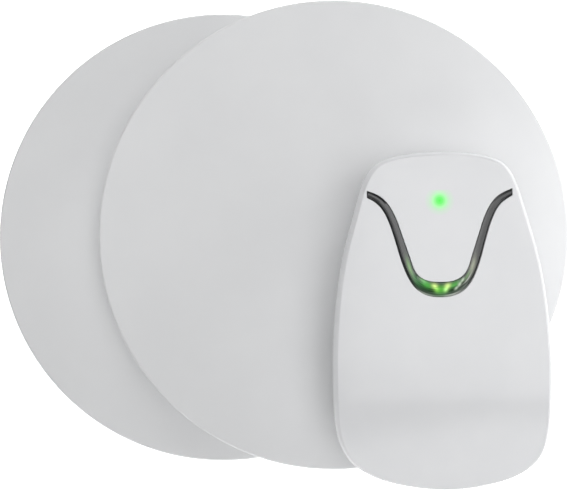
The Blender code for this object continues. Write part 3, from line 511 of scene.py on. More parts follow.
def tinted(paint, low, high, scale, where=None):
    """Base colour that wanders between two close tones."""
    cloud = paint.noise(scale, 2.0, where=where)
    return paint.mix(paint.span(cloud, 0.35, 0.65), rgb(*low), rgb(*high))


GLOSS_TONES = ((0.618, 0.624, 0.637), (0.630, 0.635, 0.647))
LAMP_RADIUS = 0.0062
LAMP_FADE = [(0.0, 1.0), (0.19, 0.88), (0.30, 0.68), (0.41, 0.46), (0.56, 0.22), (0.75, 0.08), (1.0, 0.0)]


def polish(paint):
    """The unit's gloss: a slight haze and a faint waviness."""
    paint.set("Roughness", paint.span(paint.noise(900, 4.0), 0.3, 0.7, 0.15, 0.21))
    paint.bump(paint.noise(260, 3.0), 0.000004)


def gloss_white():
    paint = Paint("gloss_white_abs", 0.2, IOR=1.5)
    paint.set("Base Color", tinted(paint, *GLOSS_TONES, 60))
    polish(paint)
    return paint.material


def key_white():
    """The cover's white, with the green status lamp glowing through it."""
    paint = Paint("gloss_white_abs_lamp", 0.2, IOR=1.5)
    white = tinted(paint, *GLOSS_TONES, 60)
    away = paint.span(paint.away_from_axis(LAMP_PLACE), 0.0, LAMP_RADIUS)
    core = paint.ramp(away, [(place, (grey, grey, grey)) for place, grey in LAMP_FADE], smooth=True)
    strength = paint.add("ShaderNodeSeparateColor", {0: core})
    paint.set("Base Color", paint.mix(strength, white, rgb(0.01, 0.42, 0.01)))
    paint.glow(paint.mix(strength, rgb(0, 0, 0), rgb(0.02, 0.78, 0.02)))
    polish(paint)
    return paint.material


def satin_white():
    """The pads' spark-eroded satin finish: a fine grain and a faint mottle."""
    paint = Paint("satin_white_abs", 0.42, IOR=1.46)
    paint.set("Base Color", tinted(paint, (0.641, 0.646, 0.655), (0.657, 0.662, 0.670), 35))
    grain = paint.noise(2600, 5.0, 0.6)
    paint.set("Roughness", paint.span(grain, 0.3, 0.7, 0.38, 0.50))
    paint.bump(grain, 0.000012)
    return paint.material


# Green light that the guide carries from its lamp, and painted highlights and reflections of the studio
# lights on it,
#  all as emission spots: (along, across, half length, half width, colour).  Along is metres from the
#  middle of the U, negative towards the left arm, and across is 0 at the inner edge and 1 outside.
GUIDE_GLOW_AND_HIGHLIGHTS = [
    (-0.0024, 0.27, 0.0011, 0.17, (0.76, 0.90, 0.30)),
    (0.0024, 0.27, 0.0011, 0.17, (0.74, 0.88, 0.30)),
    (-0.0017, 0.52, 0.0010, 0.16, (0.22, 0.50, 0.08)),
    (0.0019, 0.52, 0.0009, 0.16, (0.44, 0.78, 0.26)),
    (0.0, 0.48, 0.0023, 0.28, (0.09, 0.46, 0.04)),
    (-0.0054, 0.28, 0.0025, 0.22, (0.07, 0.44, 0.05)),
    (0.0050, 0.28, 0.0024, 0.20, (0.09, 0.42, 0.07)),
    (-0.0070, 0.10, 0.0020, 0.10, (0.12, 0.28, 0.10)),
    (-0.0105, 0.45, 0.0032, 0.26, (0.04, 0.18, 0.05)),
    (-0.0165, 0.40, 0.0034, 0.20, (0.14, 0.32, 0.08)),
    # The greyish-white spots from here on are painted highlights and reflections of the studio lights on the
    # bend, the right arm and the outer rim; the green ones among them are the lamp's light.
    (0.0062, 0.58, 0.0007, 0.10, (0.50, 0.60, 0.46)),
    (0.0075, 0.43, 0.0008, 0.12, (0.62, 0.70, 0.58)),
    (0.0089, 0.27, 0.0008, 0.11, (0.46, 0.54, 0.42)),
    (0.0116, 0.34, 0.0024, 0.15, (0.08, 0.20, 0.05)),
    (0.0118, 0.58, 0.0028, 0.06, (0.36, 0.39, 0.34)),
    (0.0168, 0.42, 0.0034, 0.26, (0.27, 0.29, 0.20)),
    (0.0, 0.76, 0.0075, 0.12, (0.015, 0.065, 0.015)),
    (0.0098, 0.80, 0.0030, 0.10, (0.13, 0.15, 0.13)),
    # painted reflection: a light band along the outer rim
    (-0.0062, 0.94, 0.0036, 0.06, (0.30, 0.34, 0.29)),
    (0.0056, 0.94, 0.0040, 0.06, (0.44, 0.47, 0.42)),
    (0.0, 0.93, 0.0040, 0.05, (0.10, 0.18, 0.10)),
]


def smoked_guide():
    """Dark clear plastic with drawn streaks, the green light that the guide carries, and painted highlights
    and reflections on its bend, right arm and outer rim, all as emission.
    """
    paint = Paint("smoked_light_guide", 0.1, IOR=1.58)
    layout = paint.add("ShaderNodeUVMap", uv_map="guide")
    along = paint.add("ShaderNodeSeparateXYZ", {0: layout})
    across = along.node.outputs[1]
    drawn = paint.add("ShaderNodeMapping", {"Vector": layout, "Scale": (160.0, 16.0, 1.0)})
    streak = paint.noise(1.0, 4.0, 0.6, drawn)
    drawn_tone = paint.span(streak, 0.38, 0.66)
    paint.set("Base Color", paint.mix(drawn_tone, rgb(0.006, 0.007, 0.007), rgb(0.030, 0.031, 0.032)))
    paint.set("Roughness", paint.span(streak, 0.3, 0.7, 0.07, 0.22))
    total = rgb(0.0, 0.0, 0.0)
    # each spot adds its colour as emission: the lamp's green light, and the painted highlights and
    # reflections
    for place, side, length, width, colour in GUIDE_GLOW_AND_HIGHLIGHTS:
        off_along = paint.math("DIVIDE", paint.math("SUBTRACT", along, place), length)
        off_across = paint.math("DIVIDE", paint.math("SUBTRACT", across, side), width)
        squares = paint.math("ADD", paint.math("POWER", off_along, 2.0), paint.math("POWER", off_across, 2.0))
        fall = paint.math("EXPONENT", paint.math("MULTIPLY", squares, -1.0))
        total = paint.mix(fall, total, rgb(*colour), "ADD")
    paint.glow(paint.mix(paint.span(streak, 0.35, 0.6, 0.72, 1.0), rgb(0, 0, 0), total))
    return paint.material


def speckled(name, low, high, roughness, scale=400, depth=0.00001, **constant):
    """A moulded or painted surface: close tones, varied roughness and a fine bump."""
    paint = Paint(name, roughness, **constant)
    paint.set("Base Color", tinted(paint, low, high, scale))
    grain = paint.noise(scale * 3, 4.0, 0.6)
    paint.set("Roughness", paint.span(grain, 0.3, 0.7, roughness - 0.06, roughness + 0.08))
    paint.bump(grain, depth)
    return paint.material


def brushed(name, low, high, roughness, stretch):
    """Metal with fine lines along the axis that stretch makes long."""
    paint = Paint(name, roughness, metallic=1.0)
    lines = paint.noise(1.0, 4.0, 0.6, paint.place(stretch))
    paint.set("Base Color", paint.mix(paint.span(lines, 0.3, 0.7), rgb(*low), rgb(*high)))
    paint.set("Roughness", paint.span(lines, 0.3, 0.7, roughness - 0.08, roughness + 0.12))
    paint.bump(lines, 0.000006)
    return paint.material


def turned_metal(name, low, high, roughness):
    """Metal with fine rings about the piece's own Z axis, as a lathe leaves."""
    paint = Paint(name, roughness, metallic=1.0)
    away = paint.away_from_axis()
    rings = paint.noise(5000, 2.0, where=paint.add("ShaderNodeCombineXYZ", {0: away}))
    paint.set("Base Color", paint.mix(rings, rgb(*low), rgb(*high)))
    paint.set("Roughness", paint.span(rings, 0.3, 0.7, roughness - 0.08, roughness + 0.10))
    paint.bump(rings, 0.000005)
    return paint.material


def circuit_board():
    """Green solder mask over darker laminate, with copper tracks and tinned pads."""
    paint = Paint("circuit_board", 0.35)
    tracks = paint.add(
        "ShaderNodeTexVoronoi",
        {"Vector": paint.place(), "Scale": 420.0},
        feature="DISTANCE_TO_EDGE",
    )
    greens = [(0.0, (0.03, 0.26, 0.10)), (0.07, (0.03, 0.24, 0.09)), (0.10, (0.01, 0.12, 0.05))]
    masked = paint.ramp(tracks, greens)
    spots = paint.add("ShaderNodeTexVoronoi", {"Vector": paint.place(), "Scale": 330.0})
    tinned = paint.math("LESS_THAN", spots, 0.16)
    paint.set("Base Color", paint.mix(tinned, masked, rgb(0.62, 0.60, 0.54)))
    paint.set("Metallic", tinned)
    paint.set("Roughness", paint.span(paint.noise(900), 0.3, 0.7, 0.26, 0.42))
    paint.bump(tracks, 0.00002)
    return paint.material


def cell_wrap():
    """A cell's printed sleeve, banded along its length, between its steel ends."""
    paint = Paint("cell_wrap", 0.3)
    own = paint.add("ShaderNodeTexCoord", output=3)
    height = paint.add("ShaderNodeSeparateXYZ", {0: own}, output=2)
    along = paint.span(height, -CELL_HALF, CELL_HALF)
    stops = [
        (0.0, (0.60, 0.60, 0.58)),
        (0.012, (0.60, 0.60, 0.58)),
        (0.016, (0.02, 0.05, 0.12)),
        (0.70, (0.02, 0.06, 0.14)),
        (0.705, (0.66, 0.66, 0.64)),
        (0.725, (0.66, 0.66, 0.64)),
        (0.73, (0.62, 0.36, 0.10)),
        (0.975, (0.66, 0.40, 0.12)),
        (0.985, (0.62, 0.62, 0.60)),
    ]
    bands = paint.ramp(along, stops)
    scuffs = paint.span(paint.noise(300, 4.0), 0.3, 0.8, 0.0, 0.25)
    paint.set("Base Color", paint.mix(scuffs, bands, rgb(0.42, 0.42, 0.42)))
    steel = paint.math("GREATER_THAN", paint.math("ABSOLUTE", height), CELL_HALF - 0.0005)
    paint.set("Metallic", steel)
    paint.set("Roughness", paint.span(paint.noise(700), 0.3, 0.7, 0.24, 0.38))
    paint.bump(paint.noise(150, 2.0), 0.00002)
    return paint.material


def lens_green():
    paint = Paint("green_lens", 0.12, IOR=1.5)
    cloud = paint.noise(700, 3.0)
    paint.set("Base Color", paint.mix(cloud, rgb(0.10, 0.60, 0.14), rgb(0.22, 0.80, 0.26)))
    paint.glow(paint.mix(cloud, rgb(0.03, 0.45, 0.05), rgb(0.06, 0.62, 0.08)))
    paint.set("Roughness", paint.span(cloud, 0.3, 0.7, 0.08, 0.18))
    return paint.material


def make_materials():
    return {
        "unit": gloss_white(),
        "key": key_white(),
        "pad": satin_white(),
        "guide": smoked_guide(),
        "board": circuit_board(),
        "black": speckled("black_plastic", (0.016, 0.016, 0.017), (0.030, 0.030, 0.031), 0.38),
        "rubber": speckled("soft_rubber", (0.34, 0.35, 0.36), (0.40, 0.41, 0.42), 0.62, 500, 0.00003),
        "brass": turned_metal("piezo_brass", (0.66, 0.46, 0.18), (0.80, 0.60, 0.28), 0.30),
        "ceramic": speckled("piezo_ceramic", (0.66, 0.64, 0.59), (0.74, 0.72, 0.67), 0.40, 900),
        "nickel": brushed("nickel_contact", (0.60, 0.59, 0.56), (0.74, 0.73, 0.70), 0.28, (300, 300, 4000)),
        "gold": brushed("gold_contact", (0.76, 0.54, 0.20), (0.90, 0.68, 0.30), 0.24, (4000, 300, 300)),
        "steel": turned_metal("screw_steel", (0.46, 0.47, 0.48), (0.64, 0.65, 0.66), 0.34),
        "cell": cell_wrap(),
        "lens": lens_green(),
        "red": speckled("red_wire", (0.50, 0.03, 0.02), (0.60, 0.05, 0.04), 0.40),
        "black wire": speckled("black_wire", (0.018, 0.018, 0.018), (0.034, 0.034, 0.034), 0.42),
    }


# Screws


def cross_recess(radius, depth):
    """The cross that a screwdriver's tip fits, narrowing as it goes in."""
    shape = Shape(recess_blade(radius, depth))
    shape.join(recess_blade(radius, depth), placed(rotation=(0, 0, math.pi / 2)))
    return shape.done()


def recess_blade(radius, depth):
    rings = []
    for share, z in ((1.0, -0.0004), (1.0, 0.0), (0.35, depth)):
        half_x, half_y = radius * share, radius * 0.26 * (0.6 + 0.4 * share)
        corners = [(-half_x, -half_y), (half_x, -half_y), (half_x, half_y), (-half_x, half_y)]
        rings.append([(x, y, z) for x, y in corners])
    return lofted(rings)


def screw_mesh(head, shank):
    """A pan-head screw that points up, with its head's underside at Z = 0."""
    head_radius, head_height = head
    shank_radius, shank_length = shank
    rounding = head_radius * 0.38
    core = shank_radius * 0.78
    profile = [(head_radius * 0.30, -head_height), (head_radius - rounding, -head_height)]
    for inward, down in reversed(quarter(rounding, 5)[:-1]):
        share = down / rounding
        profile.append((head_radius - inward, -head_height + head_height * 0.8 * share))
    profile += [(head_radius, 0.0), (shank_radius, 0.0)]
    turns = int(shank_length / THREAD_PITCH)
    for i in range(1, turns):
        z = shank_length * i / turns
        profile += [(shank_radius, z - 0.0002), (core, z)]
    profile += [(core, shank_length - shank_radius), (shank_radius * 0.2, shank_length)]
    shape = Shape(turned(profile, 32))
    shape.cut(cross_recess(head_radius - rounding, head_height * 0.7), placed((0, 0, -head_height)))
    return shape.done()


# Sensor pads


def pad_cover_mesh(radius, height):
    low = PAD_SEAM + SEAM
    inside_top = height - PAD_WALL
    rim = radius - PAD_WALL
    profile = [(PIEZO_RING[0], inside_top)]
    profile += [(rim - inward, inside_top - down) for inward, down in reversed(quarter(PAD_FILLET, 6))]
    profile += [(rim, low), (radius - PAD_NICK, low), (radius, low + PAD_NICK)]
    side = radius - PAD_DRAFT
    profile += [(side - inward, height - down) for inward, down in quarter(PAD_EDGE, 10)]
    return turned(profile, PAD_SEGMENTS)


def pad_base_mesh(radius):
    high = PAD_SEAM - SEAM
    rim = radius - PAD_WALL
    inner, outer = PIEZO_RING
    profile = [(inner, PAD_WALL), (inner, PAD_SEAM - GAP), (outer, PAD_SEAM - GAP), (outer, PAD_WALL)]
    profile += [(rim - PAD_CORNER, PAD_WALL), (rim, PAD_WALL + PAD_CORNER), (rim, high)]
    profile += [(radius - PAD_NICK, high), (radius, high - PAD_NICK)]
    profile += [(radius - PAD_TUCK - inward, down) for inward, down in quarter(PAD_FOOT, 8)]
    return turned(profile, PAD_SEGMENTS)


def gland_mesh(radius):
    """A ribbed rubber grommet that lines the hole where a cord goes in."""
    rim = radius - PAD_WALL
    inside = [(0.0018, -0.0045), (0.0037, -0.0045), (0.0040, -0.0042), (0.0040, -0.0026), (0.0031, -0.0026)]
    outside = [(0.0031, 0.0002), (0.0036, 0.0004), (0.0036, 0.0010), (0.0029, 0.0014), (0.0029, 0.0017)]
    outside += [(0.0033, 0.0020), (0.0032, 0.0026), (0.0025, 0.0032), (0.0018, 0.0032)]
    profile = [(r, rim + z) for r, z in inside] + [(r, radius + z) for r, z in outside]
    return turned(profile, 48, "none")


def add_pad(prefix, materials):
    low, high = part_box(f"{prefix}_base")
    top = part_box(f"{prefix}_cover")[1].z
    middle = (low + high) / 2
    radius = (high.x - low.x) / 2
    place = placed((middle.x, middle.y, low.z))
    cover = Shape(pad_cover_mesh(radius, top - low.z))
    base = Shape(pad_base_mesh(radius))
    sideways = placed((0, 0, PAD_SEAM), (0, math.pi / 2, GLAND_ANGLE))
    rim = radius - PAD_WALL
    for shell in (cover, base):
        shell.cut(rod(GLAND_HOLE, rim - 0.003, radius + 0.003, 48), sideways)
    counterbore, depth = PAD_COUNTERBORE
    for x, y in circle(PAD_SCREW_CIRCLE, 4):
        centre = placed((x, y, 0))
        base.join(rod(PAD_BOSS_LOW, OVERSHOOT, PAD_SEAM - GAP, 32), centre)
        base.cut(flared_hole(counterbore, (0.0003, 0.0003), depth, 32), centre)
        base.cut(rod(PAD_CLEARANCE_HOLE, 0.002, 0.008, 24), centre)
        cover.join(rod(PAD_BOSS_HIGH, PAD_SEAM + GAP, 0.0145, 32), centre)
        cover.cut(rod(PAD_PILOT_HOLE, 0.005, PAD_PILOT_TOP, 24), centre)
    white = materials["pad"]
    add_skin(f"{prefix}_cover", cover.done(), white, place, prefix, "pad_shell")
    add_skin(f"{prefix}_base", base.done(), white, place, prefix, "pad_shell")
    gland = gland_mesh(radius)
    add_skin(f"{prefix}_cord_gland", gland, materials["rubber"], place @ sideways, prefix, "soft_rubber")
    screw = screw_mesh(PAD_SCREW_HEAD, PAD_SCREW_SHANK)
    for i, (x, y) in enumerate(circle(PAD_SCREW_CIRCLE, 4)):
        seat = place @ placed((x, y, depth - GAP), (0, 0, 0.7 * i))
        add_skin(f"{prefix}_screw_{i + 1}", screw.copy(), materials["steel"], seat, prefix, "screw_steel")


# Control unit


def face_height(y):
    """Height of the face at Y: level, then a gentle bend, then a crease and a steeper foot."""
    bend = min(max(0.0, FACE_BEND - y), FACE_BEND - FACE_CREASE)
    drop = BEND_SLOPE * bend**2 / (2 * (FACE_BEND - FACE_CREASE))
    below = max(0.0, FACE_CREASE - y)
    steepening = (FOOT_SLOPE - CREASE_SLOPE) / (2 * (FACE_CREASE - UNIT_FOOT))
    return THICKNESS - drop - CREASE_SLOPE * below - steepening * below**2


def edge_size(y):
    """Size of the band round the face at Y, as a share of its full size."""
    start, end = EDGE_SLIM
    done = min(max(0.0, (start - y) / (start - end)), 1.0)
    return 1.0 - (1.0 - EDGE_FOOT) * done


def edge_depth(y):
    return edge_size(y) * EDGE_RADIUS * math.sin(EDGE_SWEEP)


def edge_ring(angle):
    """One loop of the band round the face, at an angle up from its lower edge."""
    inward = EDGE_RADIUS * (1 - math.cos(angle))
    down = EDGE_RADIUS * (math.sin(EDGE_SWEEP) - math.sin(angle))
    return body_ring(lambda y: edge_size(y) * inward, lambda y: face_height(y) - edge_size(y) * down)


def body_ring(inset, height):
    """One loop round the unit, moved in by inset(y) and lying at height(y)."""
    loop = moved_sideways(OUTLINE, lambda y: -inset(y), closed=True)
    return [(x, y, height(outline_y)) for (x, y), (_, outline_y) in zip(loop, OUTLINE)]


def level(height):
    return lambda y: height


def below_face(depth):
    return lambda y: face_height(y) - depth


def side_ring(height, inset=0.0):
    """A level loop of the drafted side wall, moved in by inset."""

    def inward(y):
        return inset + DRAFT * max(0.0, face_height(y) - edge_depth(y) - height)

    return body_ring(inward, level(height))


def opening_ring(spread, z):
    """The opening for the guide and the key, widened by spread along the guide's outer edge."""
    outer = moved_sideways(GUIDE_OUTER, spread)
    corners = [(outer[-1][0], HINGE_Y), (outer[0][0], HINGE_Y)]
    return [(x, y, z) for x, y in outer + corners]


def key_ring(shrink, z):
    """The power key's outline, drawn in by shrink along the guide's inner edge."""
    edge = moved_sideways(GUIDE_INNER, -shrink)
    ring = [(edge[0][0], HINGE_Y)] + edge[1:-1] + [(edge[-1][0], HINGE_Y)]
    return [(x, y, z) for x, y in ring]


def unit_frame():
    """Where the control unit's own frame lies, from the hinge line of its power key."""
    hinge = next(joint for joint in frame["joints"] if joint["name"] == "power_key_press")
    turn = math.atan2(hinge["axis"][1], hinge["axis"][0])
    return placed(hinge["pos_m"], (0, 0, turn)) @ placed((0, -HINGE_Y, -HINGE_Z))


def socket_window(side):
    low, high = SOCKET_MOUTH
    sides = about(side * SOCKET_X, SOCKET_HALF[1] + SOCKET_MARGIN)
    ends = (PAST_FOOT, SOCKET_ENDS[0] + 0.0002)
    return box(sides, ends, (low - SOCKET_MARGIN, high + SOCKET_MARGIN))


def head_room(y):
    """Depth of the case screw's counterbore: shallow at the crown, deep at the foot."""
    return CASE_COUNTERBORE[1] if y > 0 else CASE_COUNTERBORE[2]


def front_cover_mesh():
    low = SPLIT + SEAM
    inward, down = FRONT_BEVEL
    rings = [
        body_ring(level(WALL + inward), below_face(WALL)),
        body_ring(level(WALL), below_face(WALL + down)),
        side_ring(low, WALL),
        side_ring(low, UNIT_NICK),
        side_ring(low + UNIT_NICK),
    ]
    rings += [edge_ring(EDGE_SWEEP * i / EDGE_STEPS) for i in range(EDGE_STEPS + 1)]
    cover = Shape(lofted(rings, "rows"))
    for x, y in CASE_SCREWS:
        top = face_height(y) - WALL + OVERSHOOT
        cover.join(rod(CASE_BOSS, SPLIT + GAP, top, 24), placed((x, y, 0)))
        cover.cut(rod(CASE_PILOT_HOLE, 0.012, CASE_PILOT_TOP, 16), placed((x, y, 0)))
    opening = [opening_ring(0.0, THICKNESS - 0.006)]
    for inward, down in quarter(GUIDE_LIP, 4):
        opening.append(opening_ring(inward, THICKNESS - down))
    opening.append(opening_ring(GUIDE_LIP, THICKNESS + 0.002))
    cover.cut(lofted(opening))
    for side in (-1, 1):
        cover.cut(socket_window(side))
    return cover.done()


def key_mesh():
    """The key's plate, with a soft edge along the guide and its plunger below."""
    underside = THICKNESS - WALL
    rings = [
        key_ring(GUIDE_MARGIN + 0.0002, underside),
        key_ring(GUIDE_MARGIN, underside + 0.0002),
    ]
    for inward, down in quarter(GUIDE_LIP, 4):
        rings.append(key_ring(GUIDE_MARGIN + inward, THICKNESS - down))
    key = Shape(lofted(rings))
    radius, length = KEY_PLUNGER
    key.join(rod(radius, underside - length, underside + OVERSHOOT, 24), placed((0, KEY_PRESS_Y, 0)))
    return key.done()


def guide_mesh():
    """The light guide: sections from its inner to its outer edge, swept from tip to tip.

    Its layer of coordinates holds metres along the U and the share of the way across it.
    """
    inner = moved_sideways(GUIDE_INNER, GUIDE_MARGIN)
    outer = moved_sideways(GUIDE_OUTER, -GUIDE_MARGIN)
    section = [
        # share of the way across, height over the cover's face
        (0.0, -GUIDE_DEPTH),
        (0.0, -0.00030),
        (0.02, -0.00012),
        (0.05, -0.00002),
        (0.08, 0.00002),
        (0.40, 0.00004),
        (0.72, 0.00002),
        (0.78, -0.00006),
        (0.86, -0.00036),
        (0.95, -0.00074),
        (1.0, -0.00100),
        (1.0, -GUIDE_DEPTH),
    ]
    middle = [Vector(a).lerp(Vector(b), 0.5) for a, b in zip(inner, outer)]
    steps = [0.0] + [(b - a).length for a, b in zip(middle, middle[1:])]
    along = -(np.cumsum(steps) - sum(steps) / 2)
    rings = []
    for a, b, place in zip(inner, outer, along):
        lean = GUIDE_LEAN / (1 + (place / GUIDE_LEAN_REACH) ** 6)
        heights = [up - lean * share if up > -GUIDE_DEPTH else up for share, up in section]
        across = [Vector(a).lerp(Vector(b), share) for share, _ in section]
        rings.append([(*point, THICKNESS + up) for point, up in zip(across, heights)])
    mesh = lofted(rings)
    layer = mesh.uv_layers.new(name="guide")
    count = len(section)
    for loop in mesh.loops:
        row, column = divmod(loop.vertex_index, count)
        layer.data[loop.index].uv = (along[row], section[column][0])
    return mesh


def back_outside_rings(top, nick=0.0):
    """The rear cover's outside from a height down to the back, with a bevel of nick at the top."""
    rings = [side_ring(top, nick)]
    if nick:
        rings.append(side_ring(top - nick))
    return rings + [side_ring(down, inward) for inward, down in quarter(BACK_RADIUS, 10)]


def keyhole(depth):
    """A round entry that a screw head passes, and a narrow way up for its shank."""
    half, upper_end = KEYHOLE_SLOT
    top = upper_end - half
    entry = circle(KEYHOLE_RADIUS, 64, (0, KEYHOLE_Y))
    start = next(i for i, (x, y) in enumerate(entry) if x < half and y > KEYHOLE_Y)
    end = next(i for i, (x, y) in enumerate(entry) if x < -half and y > KEYHOLE_Y)
    arch = [(half * math.cos(a), top + half * math.sin(a)) for a in np.linspace(0, math.pi, 17)]
    return prism(entry[:start] + arch + entry[end:], -OVERSHOOT, depth)


def rear_cover_mesh():
    high = SPLIT - SEAM
    inward, up = BACK_BEVEL
    rings = [side_ring(WALL, WALL + inward), side_ring(WALL + up, WALL), side_ring(high, WALL)]
    cover = Shape(lofted(rings + back_outside_rings(high, UNIT_NICK)))
    half_x, half_y = BAY_HALF
    bay_y = about(BAY_MIDDLE, half_y)
    walls_y = about(BAY_MIDDLE, half_y + BAY_WALL)
    groove = (DOOR_LEVELS[0] - GAP, DOOR_LEVELS[1] + GAP)
    ledge_y = (walls_y[0], DOOR_TOP + DOOR_LEDGE_REACH)
    cover.join(box(about(0, DOOR_LEDGE_X), ledge_y, (OVERSHOOT, groove[1] + DOOR_LEDGE_ROOF)))
    cover.join(box(about(0, half_x + BAY_WALL), walls_y, (0.0015, BAY_CEILING + BAY_WALL)))
    cover.join(box(about(0, POCKET_HALF), POCKET_Y, (OVERSHOOT, POCKET_TOP[1])))
    for x, y in CASE_SCREWS:
        cover.join(rod(CASE_BOSS, 0.0017, 0.013, 24), placed((x, y, 0)))
        if y < 0:
            cover.join(box(about(x, BRACE_HALF), (y, walls_y[0] + 0.0008), (0.0035, 0.0125)))
    door_y = (PAST_FOOT, DOOR_TOP + DOOR_MARGIN)
    cover.cut(box(about(0, DOOR_HALF[1] + GAP), door_y, groove))
    cover.cut(box(about(0, DOOR_HALF[0] + DOOR_MARGIN), door_y, (-0.002, groove[0] + GAP)))
    cover.cut(box(about(0, half_x), bay_y, (0.0005, BAY_CEILING)))
    pocket_y = (POCKET_Y[0] + POCKET_WALL, POCKET_Y[1] - POCKET_WALL)
    cover.cut(box(about(0, POCKET_HALF - POCKET_WALL), pocket_y, (WALL, POCKET_TOP[0])))
    cover.cut(keyhole(0.003))
    for x, y in CASE_SCREWS:
        cover.cut(flared_hole(CASE_COUNTERBORE[0], (0.0005, 0.0004), head_room(y), 32), placed((x, y, 0)))
        cover.cut(rod(CASE_CLEARANCE_HOLE, 0.002, 0.015, 16), placed((x, y, 0)))
    for x, y in [(0.0, 0.0)] + circle(SOUND_CIRCLE, 6):
        cover.cut(flared_hole(SOUND_HOLE, (0.0004, 0.0003), 0.004, 24), placed((x, y + BUZZER_Y, 0)))
    for side in (-1, 1):
        cover.cut(socket_window(side))
        lead_x = about(side * 1.5 * CELL_PITCH, LEAD_HOLE_HALF)
        cover.cut(box(lead_x, (bay_y[1] - OVERSHOOT, walls_y[1] + OVERSHOOT), LEAD_HOLE_Z))
    return cover.done()


def battery_door_mesh():
    half_low, half_high = DOOR_HALF
    step, top = DOOR_LEVELS
    section = [
        (-half_low, -OVERSHOOT),
        (half_low, -OVERSHOOT),
        (half_low, step),
        (half_high, step),
        (half_high, top),
        (-half_high, top),
        (-half_high, step),
        (-half_low, step),
    ]
    door = Shape(lofted([[(x, y, z) for x, z in section] for y in (DOOR_TOP, PAST_FOOT)]))
    door.combine(lofted(back_outside_rings(SPLIT)), "INTERSECT")
    groove = [(-0.0003, 0.0), (0.0, 0.0005), (0.0009, 0.0005), (0.0015, 0.0)]
    groove += [(0.0015, -OVERSHOOT), (-0.0003, -OVERSHOOT)]
    for y in DOOR_GRIPS:
        door.cut(lofted([[(x, y + along, z) for along, z in groove] for x in about(0, DOOR_GRIP_HALF)]))
    return door.done()


def socket_mesh(side):
    """A modular socket: its mouth, and the notch that a plug's latch goes in."""
    low, high = (corner.z - UNIT.translation.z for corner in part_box("pad_socket_left"))
    body_half, mouth_half = SOCKET_HALF
    middle = side * SOCKET_X
    socket = Shape(box(about(middle, body_half), SOCKET_ENDS, (low, high)))
    mouth_y = (SOCKET_ENDS[0] - 2 * OVERSHOOT, SOCKET_ENDS[1] - SOCKET_FLOOR)
    socket.cut(box(about(middle, mouth_half), mouth_y, SOCKET_MOUTH))
    for half, height in SOCKET_NOTCH:
        notch_z = (SOCKET_MOUTH[1] - 0.0005, SOCKET_MOUTH[1] + height)
        socket.cut(box(about(middle, half), mouth_y, notch_z))
    return socket.done()


def socket_springs(side):
    """Four gold wires that slope up from the floor of the mouth to its back."""
    form = bmesh.new()
    low, high = SOCKET_MOUTH
    for i in range(4):
        x = side * SOCKET_X + (i - 1.5) * 0.00102
        knots = [
            (x, SOCKET_ENDS[0] + 0.0012, low + 0.0003),
            (x, SOCKET_ENDS[0] + 0.0022, low + 0.0005),
            (x, SOCKET_ENDS[0] + 0.0070, low + 0.0026),
            (x, SOCKET_ENDS[1] - 0.0024, low + 0.0032),
        ]
        wire = tube(smooth_curve(knots, 6), 0.00021, 10)
        form.from_mesh(wire)
    return finished(form)


def cell_mesh():
    """An AA cell along Z, its button at the top."""
    radius, half, nub = CELL_RADIUS, CELL_HALF, CELL_NUB
    profile = [
        (0.0030, -half + 0.0002),
        (0.0046, -half + 0.0002),
        (0.0050, -half),
        (radius - 0.0009, -half),
        (radius - 0.0003, -half + 0.0002),
        (radius, -half + 0.0008),
        (radius, half - 0.0009),
        (radius - 0.0004, half - 0.0003),
        (radius - 0.0012, half),
        (0.0034, half),
        (0.0028, half + 0.0001),
        (0.0027, half + nub - 0.0003),
        (0.0024, half + nub),
    ]
    return turned(profile, 64)


def add_cells(materials):
    """Four cells side by side, turned about by turns."""
    shift = PLATE_FACE - GAP - CELL_NUB - CELL_HALF
    for i in range(4):
        towards = 1 if i % 2 == 0 else -1
        place = ((i - 1.5) * CELL_PITCH, BAY_MIDDLE + towards * shift, CELL_HEIGHT)
        matrix = UNIT @ placed(place, (-towards * math.pi / 2, 0, 0))
        add_skin(f"battery_{i + 1}", cell_mesh(), materials["cell"], matrix, "control_unit", "cell_wrap")


def add_unit(materials):
    unit, white = "control_unit", materials["unit"]
    add_skin("front_cover", front_cover_mesh(), white, UNIT, unit, "unit_shell", sharp=27)
    add_skin("rear_cover", rear_cover_mesh(), white, UNIT, unit, "unit_shell")
    add_skin("power_key", key_mesh(), materials["key"], UNIT, "power_key", "unit_shell")
    add_skin("light_guide", guide_mesh(), materials["guide"], UNIT, unit, "light_guide")
    add_skin("battery_door", battery_door_mesh(), white, UNIT, "battery_door", "unit_shell")
    for side, hand in ((-1, "left"), (1, "right")):
        node = f"pad_socket_{hand}"
        socket = socket_mesh(side)
        add_skin(node, socket, materials["black"], UNIT, unit, "black_plastic", round_edges=0.00012)
        springs = socket_springs(side)
        add_piece(f"{node}_springs", springs, materials["gold"], UNIT, unit, "nickel_contact")
    for i, (x, y) in enumerate(CASE_SCREWS):
        seat = head_room(y) - GAP
        screw = screw_mesh(CASE_SCREW_HEAD, (CASE_SCREW_RADIUS, CASE_SCREW_TIP - seat))
        matrix = UNIT @ placed((x, y, seat), (0, 0, 0.4 + 0.9 * i))
        add_skin(f"case_screw_{i + 1}", screw, materials["steel"], matrix, unit, "screw_steel")
    add_cells(materials)


# CAD nodes that stay

NODE_FINISHES = {
    "main_board": "board",
    "sensor_board": "board",
    "control_chip": "black",
    "light_shroud": "black",
    "switch_body": "black",
    "buzzer": "black",
    "switch_stem": "rubber",
    "pressure_puck": "rubber",
    "piezo_disc": "brass",
    "piezo_ceramic": "ceramic",
    "status_led": "lens",
    "glow_led": "lens",
    "contact": "nickel",
    "board_screw": "steel",
    "lead_positive": "red",
    "lead_negative": "black wire",
}


def finish_nodes(materials):
    for name, node in frame["nodes"].items():
        if node.hide_render:
            continue
        finish = next(value for key, value in NODE_FINISHES.items() if key in name)
        node.data.materials.clear()
        node.data.materials.append(materials[finish])


# Studio

